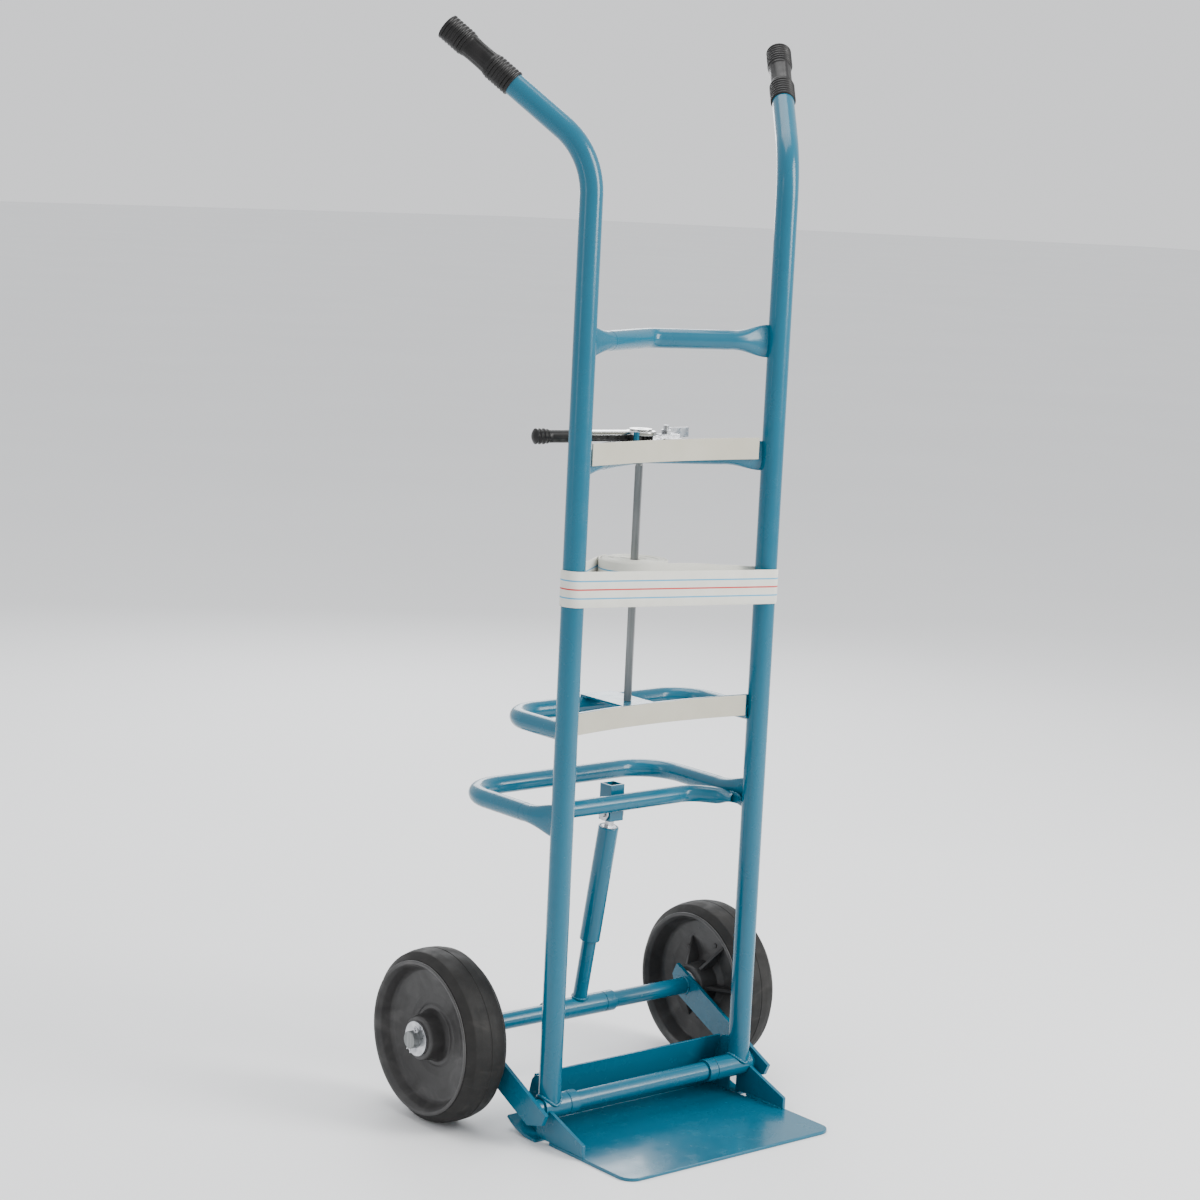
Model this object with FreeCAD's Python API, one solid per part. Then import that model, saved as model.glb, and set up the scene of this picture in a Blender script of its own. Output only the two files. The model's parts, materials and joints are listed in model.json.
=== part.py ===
"""Appliance hand truck with a swinging wheel carriage and a strap winder.

Row frame: +Z up, -Y is the front (toe plate side), +Y the back (wheels and handles), X across.
The origin is on the toe plate's underside, in the middle plane, below the uprights' axes.
All lengths are in millimetres. Each physical piece is written to parts/NAME.step.
"""
import os
from math import acos, atan2, cos, pi, radians, sin, sqrt, tan

import FreeCAD
import Part

os.makedirs("parts", exist_ok=True)
V = FreeCAD.Vector
X_AXIS = V(1, 0, 0)
Y_AXIS = V(0, 1, 0)
Z_AXIS = V(0, 0, 1)

# ---- driving dimensions: uprights, handles and grips
UPRIGHT_X = 179.0            # half the distance between the uprights' axes
UPRIGHT_OD = 32.0
UPRIGHT_WALL = 2.5
KNEE_Z = 1375.0              # where the upright's axis and the handle's axis cross
KNEE_RADIUS = 110.0
GRIP_END = V(304.5, 170.0, 1535.5)
GRIP_LENGTH = 122.0
GRIP_OD = 37.0
GRIP_CAP = 3.0               # thickness of the grip's closed end
GRIP_RIB_BAND = 38.0         # ribbed length at each end of the grip
GRIP_RIB_COUNT = 7
GRIP_RIB_DEPTH = 1.6

# ---- cross members
BAR_OD = 28.0
BAR_WALL = 2.0
FLARE_HEIGHT = 46.0          # height of a tube's flattened end
WINDER_FLARE_HEIGHT = 42.0
FLARE_WIDTH = 11.0
FLARE_LENGTH = 62.0
BAR_END_X = 168.0
BAR_END_Y = 9.0
TOP_BAR_Z = 1123.0
TOP_BAR_APEX_Y = 75.0
WINDER_BAR_Z = 958.5
WINDER_BAR_APEX_Y = 84.0
APEX_RADIUS = 34.0
UPPER_PAD_Z = 970.0
UPPER_PAD_HEIGHT = 31.0
LOWER_PAD_Z = 594.5
LOWER_PAD_HEIGHT = 30.0
PAD_THICK = 3.0
PAD_END_X = 157.5
UPPER_PAD_END_X = 154.0
PAD_END_Y = 3.0
PAD_BOW = 15.0
FLAT_BAR_THICK = 5.0

# ---- loops behind the uprights
LOOP_OD = 27.0
UPPER_LOOP_X = 171.5
UPPER_LOOP_BACK_Y = 152.5
UPPER_LOOP_Z = 584.0
UPPER_LOOP_RADIUS = 55.0
LOWER_LOOP_X = 182.0
LOWER_LOOP_BACK_Y = 234.0
LOWER_LOOP_Z = 458.0
LOWER_LOOP_RADIUS = 65.0
LOWER_LOOP_END_Y = 8.0
LOOP_FLARE_WIDTH = 13.0
LOOP_FLARE_LENGTH = 72.0
BRACE_Y = 83.0
BRACE_Z = 451.0
BRACE_OD = 25.0
BRACE_BEND_X = 132.0
BRACE_END_X = 168.0
BRACE_END_Y = 30.0
BRACE_RADIUS = 42.0
BRACE_FLARE_HEIGHT = 14.0
BRACE_FLARE_WIDTH = 36.0
BRACE_FLARE_LENGTH = 30.0

# ---- toe plate and foot
TOE_HALF_WIDTH = 192.5
TOE_FRONT_Y = -194.0
TOE_THICK = 5.0
TOE_CORNER_RADIUS = 22.0
TOE_STEP_Y = -19.0
TOE_BACK_HALF_WIDTH = 180.0
TOE_BACK_Y = 60.0
HEEL_TOP_Y = 40.0
HEEL_TOP_Z = 86.0
HEEL_THICK = 4.0
HEEL_HALF_WIDTH = 176.0
HEEL_END_HEIGHT = 87.0
HEEL_END_RADIUS = 17.0
SHOE_WIDTH = 22.0
SHOE_FRONT_Y = 0.0
SHOE_REAR_Y = 66.0
SHOE_FLAT_Y = 10.0
SHOE_RADIUS = 92.0
GUSSET_THICK = 6.0
GUSSET_FRONT_Y = -93.0
GUSSET_FRONT_Z = 22.0

# ---- wheel carriage
PIVOT_Z = 50.0
PIVOT_OD = 26.9
PIVOT_BORE = 20.9
SLEEVE_OD = 33.7
RUNNING_GAP = 0.09           # radial play of a shaft in its bore
FACE_GAP = 0.5               # play between end faces that turn past each other
SLEEVE_OUT_X = 196.0
LEFT_SLEEVE_IN_X = 151.0     # the two sleeves differ in length
RIGHT_SLEEVE_IN_X = 128.0
PIVOT_COLLAR_WIDTH = 16.0
CARRIAGE_X = -4.0            # the carriage's own middle: it has slid along its side play
ARM_IN = 207.0               # from the carriage's middle to an arm's inner face
ARM_THICK = 6.0
ARM_WIDTH = 40.0
ARM_FRONT = 34.0             # how far an arm runs past the pivot
ARM_REAR = 29.0              # how far an arm runs past the axle
AXLE_Y = 157.0
AXLE_Z = 125.0
AXLE_OD = 25.0
AXLE_END = 309.0
AXLE_SLEEVE_OD = 31.0
AXLE_COLLAR_WIDTH = 18.0
STRUT_SLEEVE_HALF = 45.5
SPLIT_PIN_AT = 302.5
SPLIT_PIN_OD = 3.2
INNER_WASHER_OD = 44.0
OUTER_WASHER_OD = 50.0

# ---- wheels
WHEEL_AT = 255.3             # from the carriage's middle to a wheel's middle
WHEEL_RADIUS = 125.0
RIM_HALF = 37.0
HUB_HALF = 38.5
HUB_RADIUS = 32.0
RIB_COUNT = 6

# ---- telescopic strut
STRUT_TOP_Z = 431.0
SOCKET_SIZE = 25.0
SOCKET_WALL = 2.0
SOCKET_BOTTOM_Z = 420.0
SOCKET_TOP_Z = 474.0
SOCKET_PIN_HOLE = 18.0
STRUT_OD = 30.0
STRUT_BORE = 22.0
ROD_OD = 21.3
STRUT_TUBE_START = 108.0     # from the axle's axis, along the strut
STRUT_TUBE_END = 288.0
ROD_END = 225.0

# ---- strap and winder
SHAFT_Y = 84.0
SHAFT_SIDE = 10.0
SHAFT_TURN = 49.0            # how far the square is turned at rest, in degrees
JOURNAL_OD = 10.0
LOWER_PIN_OD = 8.0
STRAP_WIDTH = 50.0
STRAP_Z = 782.0
STRAP_THICK = 2.4
STRAP_TAIL_ANGLE = 100.0     # where the strap's tail ends behind the roll, in degrees from +X
STRAP_INNER_ANGLE = 112.0    # where the layer below it ends
STRAP_ROLL_GAP = 0.8         # between the turning roll and the strap that lies round it
STRAP_LAYER_GAP = 0.3
ROLL_OD = 97.0
BEARING_PLATE_THICK = 3.0
BRACKET_THICK = 3.0
RATCHET_TEETH = 16
RATCHET_OD = 36.0
LEVER_ANGLE = 166.0          # from +X, in degrees
LEVER_LENGTH = 168.0
PAWL_PIVOT_X = 59.5
PAWL_PIVOT_DY = 14.0
PAWL_HEIGHT = 6.0
PAWL_LIFT = 3.0              # the holding pawl is stored lifted this far off the teeth, in degrees
DRIVE_PAWL_TRAVEL = 1.7
BRACKET_FRONT = 18.0         # from the shaft's axis to the bracket's front edge
STOP_PIN_X = -23.5
STOP_PIN_DY = -18.5
STOP_PIN_OD = 8.0

written = {}


# ---------------------------------------------------------------- helpers
def write(name, shape):
    """Write one piece and check that it is a sound solid."""
    if not shape.isValid() or shape.Volume <= 0 or len(shape.Solids) == 0:
        raise RuntimeError("bad shape: " + name)
    shape.exportStep("parts/" + name + ".step")
    written[name] = shape


def box(low, high):
    return Part.makeBox(high[0] - low[0], high[1] - low[1], high[2] - low[2], V(*low))


def rod(start, end, diameter):
    """A plain cylinder from one point to another."""
    run = end - start
    return Part.makeCylinder(diameter / 2, run.Length, start, run)


def ring(start, end, outer, inner):
    """A tube from one point to another."""
    run = (end - start).normalize()
    bore = rod(start - run, end + run, inner)
    return rod(start, end, outer).cut(bore)


def joined(shapes):
    """Fuse overlapping shapes into one clean solid."""
    whole = shapes[0].multiFuse(shapes[1:]) if len(shapes) > 1 else shapes[0]
    return whole.removeSplitter()


def mirrored(shape, plane_x=0.0):
    """The same piece on the other side of a middle plane."""
    return shape.mirror(V(plane_x, 0, 0), X_AXIS)


def slab(outline, start, thickness_vector):
    """A flat plate: a closed outline of points, pushed along a vector."""
    points = [start + p for p in outline]
    wire = Part.makePolygon(points + [points[0]])
    return Part.Face(wire).extrude(thickness_vector)


def path_wire(points, radius):
    """Straight runs through points, with a tangent arc of one radius at each inner point."""
    edges = []
    here = points[0]
    for before, corner, after in zip(points, points[1:], points[2:]):
        way_in = (corner - before).normalize()
        way_out = (after - corner).normalize()
        turn = acos(max(-1.0, min(1.0, way_in.dot(way_out))))
        cut = radius * tan(turn / 2)
        arc_start = corner - way_in * cut
        arc_end = corner + way_out * cut
        inward = (way_out - way_in).normalize()
        arc_mid = corner + inward * (radius / cos(turn / 2) - radius)
        edges.append(Part.LineSegment(here, arc_start).toShape())
        edges.append(Part.Arc(arc_start, arc_mid, arc_end).toShape())
        here = arc_end
    edges.append(Part.LineSegment(here, points[-1]).toShape())
    return Part.Wire(edges)


def swept(points, radius, diameter):
    """A round bar along a bent path."""
    path = path_wire(points, radius)
    heading = points[1] - points[0]
    circle = Part.Wire(Part.makeCircle(diameter / 2, points[0], heading))
    return path.makePipeShell([circle], True, True)


def oval_wire(centre, long_way, long_size, short_way, short_size):
    """An oval from its two widths; a hair longer than wide, so that its seam never jumps."""
    longest = max(long_size, short_size * 1.0001) / 2
    oval = Part.Ellipse(centre + long_way * longest, centre + short_way * (short_size / 2), centre)
    return Part.Wire(oval.toShape())


def flared(inner_point, end_point, diameter, height, width):
    """A tube's end, going from round to a flattened oval, tall or wide, a hair inside the tube."""
    start_size = diameter * 0.985
    run = end_point - inner_point
    sideways = V(run).cross(Z_AXIS).normalize()
    shares = [(0.0, 0.0), (0.2, 0.03), (0.55, 0.5), (0.8, 0.93), (1.0, 1.0)]
    wires = []
    for along, share in shares:
        tall = start_size + (height - start_size) * share
        wide = start_size + (width - start_size) * share
        centre = inner_point + run * along
        if height > width:
            wires.append(oval_wire(centre, Z_AXIS, tall, sideways, wide))
        else:
            wires.append(oval_wire(centre, sideways, wide, Z_AXIS, tall))
    return Part.makeLoft(wires, True)


def flared_bar(points, radius, diameter, wall, height, width, flare_length):
    """A bent tube in a level plane, hollow, with both ends flared."""
    solids = []
    for shrink in (0.0, 2 * wall):
        first_run = (points[1] - points[0]).normalize()
        last_run = (points[-1] - points[-2]).normalize()
        start = points[0] + first_run * flare_length
        stop = points[-1] - last_run * flare_length
        middle = swept([start] + points[1:-1] + [stop], radius, diameter - shrink)
        over = 1.0 if shrink else 0.0
        left = flared(start, points[0] - first_run * over, diameter - shrink, height - shrink, width - shrink)
        right = flared(stop, points[-1] + last_run * over, diameter - shrink, height - shrink, width - shrink)
        solids.append(joined([middle, left, right]))
    return solids[0].cut(solids[1])


def bowed_strip(half_length, end_y, bow, thickness, low_z, high_z):
    """A flat strip bent to a shallow arc in plan; its front face is at end_y at the ends."""
    def face_edge(offset):
        return Part.Arc(
            V(-half_length, end_y + offset, low_z),
            V(0, end_y + bow + offset, low_z),
            V(half_length, end_y + offset, low_z),
        ).toShape()
    front = face_edge(0)
    back = face_edge(thickness)
    back_y = end_y + thickness
    left = Part.LineSegment(V(-half_length, end_y, low_z), V(-half_length, back_y, low_z)).toShape()
    right = Part.LineSegment(V(half_length, end_y, low_z), V(half_length, back_y, low_z)).toShape()
    wire = Part.Wire(Part.__sortEdges__([front, right, back, left]))
    return Part.Face(wire).extrude(V(0, 0, high_z - low_z))


def revolved_about_x(profile, centre):
    """Turn a closed outline of (x, radius) points about an axis along X through centre."""
    points = [centre + V(x, 0, r) for x, r in profile]
    wire = Part.makePolygon(points + [points[0]])
    return Part.Face(wire).revolve(centre, X_AXIS, 360)


def at_angle(shape, centre, degrees_about_z):
    turned = shape.copy()
    turned.rotate(centre, Z_AXIS, degrees_about_z)
    return turned


# ---------------------------------------------------------------- uprights, handles, grips
knee = V(UPRIGHT_X, 0, KNEE_Z)
handle_way = (GRIP_END - knee).normalize()
tube_end = GRIP_END - handle_way * GRIP_CAP
grip_start = GRIP_END - handle_way * GRIP_LENGTH
upright_foot = V(UPRIGHT_X, 0, PIVOT_Z)
pivot_left = V(-SLEEVE_OUT_X, 0, PIVOT_Z)
pivot_right = V(SLEEVE_OUT_X, 0, PIVOT_Z)
sleeve_space = rod(pivot_left, pivot_right, SLEEVE_OD)

upright_outside = swept([upright_foot, knee, tube_end], KNEE_RADIUS, UPRIGHT_OD)
upright_inside = swept(
    [upright_foot - Z_AXIS * 20, knee, tube_end + handle_way], KNEE_RADIUS, UPRIGHT_OD - 2 * UPRIGHT_WALL
)
right_upright = upright_outside.cut(upright_inside).cut(sleeve_space)
write("right_upright", right_upright)
write("left_upright", mirrored(right_upright))
uprights_solid = Part.makeCompound([upright_outside, mirrored(upright_outside)])


def grip():
    """A ribbed push-on grip with a closed end."""
    body = rod(grip_start, GRIP_END, GRIP_OD - 2 * GRIP_RIB_DEPTH)
    pitch = GRIP_RIB_BAND / GRIP_RIB_COUNT
    solids = [body]
    for band_start in (0.0, GRIP_LENGTH - GRIP_RIB_BAND):
        for number in range(GRIP_RIB_COUNT):
            low = grip_start + handle_way * (band_start + number * pitch + 0.2 * pitch)
            solids.append(rod(low, low + handle_way * (0.6 * pitch), GRIP_OD))
    return joined(solids).cut(rod(grip_start - handle_way, tube_end, UPRIGHT_OD))


right_grip = grip()
write("right_grip", right_grip)
write("left_grip", mirrored(right_grip))


# ---------------------------------------------------------------- cross members and pads
def vee_bar(apex_y, z, flare_height):
    points = [V(-BAR_END_X, BAR_END_Y, z), V(0, apex_y, z), V(BAR_END_X, BAR_END_Y, z)]
    bar = flared_bar(points, APEX_RADIUS, BAR_OD, BAR_WALL, flare_height, FLARE_WIDTH, FLARE_LENGTH)
    return bar.cut(uprights_solid)


write("top_crossbar", vee_bar(TOP_BAR_APEX_Y, TOP_BAR_Z, FLARE_HEIGHT))

journal_hole = JOURNAL_OD + 2 * RUNNING_GAP
shaft_hole = rod(V(0, SHAFT_Y, WINDER_BAR_Z - 40), V(0, SHAFT_Y, WINDER_BAR_Z + 60), journal_hole)
write("winder_crossbar", vee_bar(WINDER_BAR_APEX_Y, WINDER_BAR_Z, WINDER_FLARE_HEIGHT).cut(shaft_hole))

write("upper_pad", bowed_strip(
    UPPER_PAD_END_X, PAD_END_Y - 1.5, PAD_BOW, PAD_THICK,
    UPPER_PAD_Z - UPPER_PAD_HEIGHT / 2, UPPER_PAD_Z + UPPER_PAD_HEIGHT / 2,
).cut(uprights_solid))
lower_low = LOWER_PAD_Z - LOWER_PAD_HEIGHT / 2
lower_high = LOWER_PAD_Z + LOWER_PAD_HEIGHT / 2
write("lower_pad", bowed_strip(PAD_END_X, PAD_END_Y, PAD_BOW, PAD_THICK, lower_low, lower_high))
lower_bar = bowed_strip(BAR_END_X, PAD_END_Y + PAD_THICK, PAD_BOW, FLAT_BAR_THICK, lower_low, lower_high)
write("lower_crossbar", lower_bar.cut(uprights_solid).cut(written["lower_pad"]))


# ---------------------------------------------------------------- loops, brace, plates on them
def loop_points(half_width, back_y, z, start_y):
    return [
        V(-half_width, start_y, z), V(-half_width, back_y, z),
        V(half_width, back_y, z), V(half_width, start_y, z),
    ]


upper_path = loop_points(UPPER_LOOP_X, UPPER_LOOP_BACK_Y, UPPER_LOOP_Z, 4.0)
upper_outside = swept(upper_path, UPPER_LOOP_RADIUS, LOOP_OD)
upper_inside = swept(upper_path, UPPER_LOOP_RADIUS, LOOP_OD - 2 * BAR_WALL)
upper_loop = upper_outside.cut(upper_inside).cut(uprights_solid).cut(lower_bar)
write("upper_loop", max(upper_loop.Solids, key=lambda solid: solid.Volume))

lower_path = loop_points(LOWER_LOOP_X, LOWER_LOOP_BACK_Y, LOWER_LOOP_Z, LOWER_LOOP_END_Y)
lower_loop_whole = flared_bar(
    lower_path, LOWER_LOOP_RADIUS, LOOP_OD, BAR_WALL, FLARE_HEIGHT, LOOP_FLARE_WIDTH, LOOP_FLARE_LENGTH
)
lower_loop = lower_loop_whole.cut(uprights_solid)
write("lower_loop", max(lower_loop.Solids, key=lambda solid: solid.Volume))

brace_points = [
    V(-BRACE_END_X, BRACE_END_Y, BRACE_Z), V(-BRACE_BEND_X, BRACE_Y, BRACE_Z),
    V(BRACE_BEND_X, BRACE_Y, BRACE_Z), V(BRACE_END_X, BRACE_END_Y, BRACE_Z),
]
brace = flared_bar(
    brace_points, BRACE_RADIUS, BRACE_OD, BAR_WALL, BRACE_FLARE_HEIGHT, BRACE_FLARE_WIDTH, BRACE_FLARE_LENGTH
)
loop_solid = swept(lower_path, LOWER_LOOP_RADIUS, LOOP_OD)
loop_ends = [
    flared(
        V(side * LOWER_LOOP_X, LOWER_LOOP_END_Y + LOOP_FLARE_LENGTH, LOWER_LOOP_Z),
        V(side * LOWER_LOOP_X, LOWER_LOOP_END_Y, LOWER_LOOP_Z), LOOP_OD, FLARE_HEIGHT, LOOP_FLARE_WIDTH,
    )
    for side in (-1, 1)
]
brace = brace.cut(loop_solid).cut(Part.makeCompound(loop_ends))
write("lower_loop_brace", max(brace.Solids, key=lambda solid: solid.Volume))

socket_y = BRACE_Y + BRACE_OD / 2 + SOCKET_SIZE / 2
half = SOCKET_SIZE / 2
bore_half = half - SOCKET_WALL
socket = box((-half, socket_y - half, SOCKET_BOTTOM_Z), (half, socket_y + half, SOCKET_TOP_Z))
socket = socket.cut(box(
    (-bore_half, socket_y - bore_half, SOCKET_BOTTOM_Z - 1),
    (bore_half, socket_y + bore_half, SOCKET_TOP_Z + 1),
))
strut_top = V(0, socket_y, STRUT_TOP_Z)
socket = socket.cut(rod(strut_top - X_AXIS * 20, strut_top + X_AXIS * 20, SOCKET_PIN_HOLE))
write("strut_socket", socket)

plate_low = UPPER_LOOP_Z + LOOP_OD / 2
bearing_plate = box((-30, 44, plate_low), (30, UPPER_LOOP_BACK_Y + 2, plate_low + BEARING_PLATE_THICK))
pin_hole = rod(V(0, SHAFT_Y, plate_low - 5), V(0, SHAFT_Y, plate_low + 10), LOWER_PIN_OD + 2 * RUNNING_GAP)
write("bearing_plate", bearing_plate.cut(pin_hole))


# ---------------------------------------------------------------- foot: toe plate, heel, gussets, shoes
def toe_plate():
    wide = box((-TOE_HALF_WIDTH, TOE_FRONT_Y, 0), (TOE_HALF_WIDTH, TOE_STEP_Y, TOE_THICK))
    corners = [
        edge for edge in wide.Edges
        if abs(edge.Length - TOE_THICK) < 0.01 and abs(edge.CenterOfMass.y - TOE_FRONT_Y) < 0.01
    ]
    wide = wide.makeFillet(TOE_CORNER_RADIUS, corners)
    back = box((-TOE_BACK_HALF_WIDTH, TOE_STEP_Y - 1, 0), (TOE_BACK_HALF_WIDTH, TOE_BACK_Y, TOE_THICK))
    return joined([wide, back])


write("toe_plate", toe_plate())


def heel_sheet():
    """A flat sheet that leans forward from the toe plate's rear edge, behind the pivot tube."""
    profile = [
        V(0, TOE_BACK_Y - HEEL_THICK, TOE_THICK), V(0, TOE_BACK_Y, TOE_THICK),
        V(0, HEEL_TOP_Y, HEEL_TOP_Z), V(0, HEEL_TOP_Y - HEEL_THICK, HEEL_TOP_Z),
    ]
    return slab(profile, V(-HEEL_HALF_WIDTH, 0, 0), V(2 * HEEL_HALF_WIDTH, 0, 0))


write("heel_plate", heel_sheet())


def heel_end():
    """A plate with a rounded top that closes one end of the heel and ties it to the upright."""
    lean = (TOE_BACK_Y - HEEL_TOP_Y) / (HEEL_TOP_Z - TOE_THICK)
    front = UPRIGHT_OD / 2 - 1
    rear_low = TOE_BACK_Y - 1
    rear_high = rear_low - lean * (HEEL_END_HEIGHT - TOE_THICK)
    outline = [
        V(0, front, TOE_THICK), V(0, rear_low, TOE_THICK), V(0, rear_high, HEEL_END_HEIGHT),
        V(0, front, HEEL_END_HEIGHT),
    ]
    plate = slab(outline, V(HEEL_HALF_WIDTH, 0, 0), V(HEEL_THICK, 0, 0))
    top_rear = [
        edge for edge in plate.Edges
        if edge.CenterOfMass.z > HEEL_END_HEIGHT - 1 and edge.CenterOfMass.y > rear_high - 1
    ]
    return plate.makeFillet(HEEL_END_RADIUS, top_rear).cut(uprights_solid).cut(sleeve_space)


write("heel_end_plates", Part.makeCompound([heel_end(), mirrored(heel_end())]))


def gusset():
    """Side web between the toe plate and the pivot sleeve."""
    x = TOE_HALF_WIDTH - GUSSET_THICK
    outline = [
        V(0, GUSSET_FRONT_Y, TOE_THICK), V(0, GUSSET_FRONT_Y, GUSSET_FRONT_Z), V(0, -16, 50),
        V(0, 0, 50), V(0, SHOE_FLAT_Y, 30), V(0, SHOE_FLAT_Y, TOE_THICK),
    ]
    return slab(outline, V(x, 0, 0), V(GUSSET_THICK, 0, 0)).cut(sleeve_space)


write("right_gusset", gusset())
write("left_gusset", mirrored(gusset()))


def rocker_shoe():
    """A flat bar under the foot, its rear end curved up so the truck can rock back on it."""
    width = V(SHOE_WIDTH, 0, 0)
    start_x = TOE_BACK_HALF_WIDTH
    sweep = (SHOE_REAR_Y - SHOE_FLAT_Y) / SHOE_RADIUS
    rear_angle = atan2(sweep, sqrt(1 - sweep * sweep))
    centre_z = SHOE_RADIUS

    def on_arc(radius, angle):
        return V(start_x, SHOE_FLAT_Y + radius * sin(angle), centre_z - radius * cos(angle))

    outer = SHOE_RADIUS
    inner = SHOE_RADIUS - TOE_THICK
    edges = [
        Part.LineSegment(V(start_x, SHOE_FRONT_Y, 0), on_arc(outer, 0)),
        Part.Arc(on_arc(outer, 0), on_arc(outer, rear_angle / 2), on_arc(outer, rear_angle)),
        Part.LineSegment(on_arc(outer, rear_angle), on_arc(inner, rear_angle)),
        Part.Arc(on_arc(inner, rear_angle), on_arc(inner, rear_angle / 2), on_arc(inner, 0)),
        Part.LineSegment(on_arc(inner, 0), V(start_x, SHOE_FRONT_Y, TOE_THICK)),
        Part.LineSegment(V(start_x, SHOE_FRONT_Y, TOE_THICK), V(start_x, SHOE_FRONT_Y, 0)),
    ]
    wire = Part.Wire([edge.toShape() for edge in edges])
    return Part.Face(wire).extrude(width)


write("right_rocker_shoe", rocker_shoe())
write("left_rocker_shoe", mirrored(rocker_shoe()))

sleeve_bore = PIVOT_OD + 2 * RUNNING_GAP
write("right_pivot_sleeve", ring(V(RIGHT_SLEEVE_IN_X, 0, PIVOT_Z), pivot_right, SLEEVE_OD, sleeve_bore))
write("left_pivot_sleeve", ring(pivot_left, V(-LEFT_SLEEVE_IN_X, 0, PIVOT_Z), SLEEVE_OD, sleeve_bore))

# ---------------------------------------------------------------- wheel carriage
pivot_point = V(CARRIAGE_X, 0, PIVOT_Z)
axle_point = V(CARRIAGE_X, AXLE_Y, AXLE_Z)
arm_run = axle_point - pivot_point
arm_way = V(arm_run).normalize()
arm_up = V(0, -arm_way.z, arm_way.y)


def other_side(shape):
    """The same carriage piece on the other side of the carriage's own middle."""
    return mirrored(shape, CARRIAGE_X)


write("pivot_tube", ring(pivot_point - X_AXIS * ARM_IN, pivot_point + X_AXIS * ARM_IN, PIVOT_OD, PIVOT_BORE))
right_collar_x = RIGHT_SLEEVE_IN_X - FACE_GAP
left_collar_x = FACE_GAP - LEFT_SLEEVE_IN_X
pivot_collars = [
    ring(V(low_x, 0, PIVOT_Z), V(low_x + PIVOT_COLLAR_WIDTH, 0, PIVOT_Z), SLEEVE_OD, PIVOT_OD)
    for low_x in (right_collar_x - PIVOT_COLLAR_WIDTH, left_collar_x)
]
write("pivot_collars", Part.makeCompound(pivot_collars))


def arm():
    """Flat bar with its lower corners cut off, from the pivot tube to the axle."""
    half_width = ARM_WIDTH / 2
    rear = arm_run.Length + ARM_REAR
    corners = [
        (-ARM_FRONT, half_width), (-ARM_FRONT, 2), (-8, -half_width),
        (rear - 20, -half_width), (rear, 0), (rear, half_width),
    ]
    outline = [arm_way * along + arm_up * up for along, up in corners]
    plate = slab(outline, pivot_point + X_AXIS * ARM_IN, X_AXIS * ARM_THICK)
    return plate.cut(rod(axle_point + X_AXIS * (ARM_IN - 10), axle_point + X_AXIS * (ARM_IN + 20), AXLE_OD))


write("right_arm", arm())
write("left_arm", other_side(arm()))


def split_pin(diameter):
    """Wire pin through the axle: a shank, an eye at the top and two spread legs below."""
    centre = axle_point + X_AXIS * SPLIT_PIN_AT
    top = centre + arm_up * (AXLE_OD / 2 + 2)
    bottom = centre - arm_up * (AXLE_OD / 2 + 1)
    shank = rod(bottom, top, diameter)
    eye = Part.makeTorus(3.6, diameter / 2 - 0.2, top + arm_up * 3.0, X_AXIS)
    legs = []
    for spread in (-0.8, 0.5):
        legs.append(rod(bottom + arm_up * 2.5, bottom - arm_up * 7 + arm_way * (7 * spread), diameter * 0.7))
    return joined([shank, eye] + legs)


right_split_pin = split_pin(SPLIT_PIN_OD)
split_pins = Part.makeCompound([right_split_pin, other_side(right_split_pin)])
write("split_pins", split_pins)
axle = rod(axle_point - X_AXIS * AXLE_END, axle_point + X_AXIS * AXLE_END, AXLE_OD)
write("axle_shaft", axle.cut(split_pins))

axle_collar_in = STRUT_SLEEVE_HALF + FACE_GAP
axle_collar = ring(
    axle_point + X_AXIS * axle_collar_in, axle_point + X_AXIS * (axle_collar_in + AXLE_COLLAR_WIDTH),
    AXLE_SLEEVE_OD, AXLE_OD,
)
write("axle_collars", Part.makeCompound([axle_collar, other_side(axle_collar)]))

hub_in = WHEEL_AT - HUB_HALF
hub_out = WHEEL_AT + HUB_HALF
arm_out = ARM_IN + ARM_THICK
inner_washer = ring(
    axle_point + X_AXIS * arm_out, axle_point + X_AXIS * (hub_in - FACE_GAP), INNER_WASHER_OD, AXLE_OD
)
washer_in = hub_out + FACE_GAP
outer_washer = ring(
    axle_point + X_AXIS * washer_in, axle_point + X_AXIS * (washer_in + 3.0), OUTER_WASHER_OD, AXLE_OD
)
axle_washers = [inner_washer, outer_washer, other_side(inner_washer), other_side(outer_washer)]
write("axle_washers", Part.makeCompound(axle_washers))


# ---------------------------------------------------------------- wheels
wheel_centre = axle_point + X_AXIS * WHEEL_AT


def tyre():
    """Crowned solid rubber tyre, seated between the rim's flanges."""
    side = RIM_HALF - 2.5
    profile = [
        (-side, 110.9), (-26.0, 119.5), (-22.5, 122.0), (-13.0, 124.3), (0.0, WHEEL_RADIUS), (13.0, 124.3),
        (22.5, 122.0), (26.0, 119.5), (side, 110.9), (side - 2.0, 104.0), (2.0 - side, 104.0),
    ]
    return revolved_about_x(profile, wheel_centre)


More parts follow.
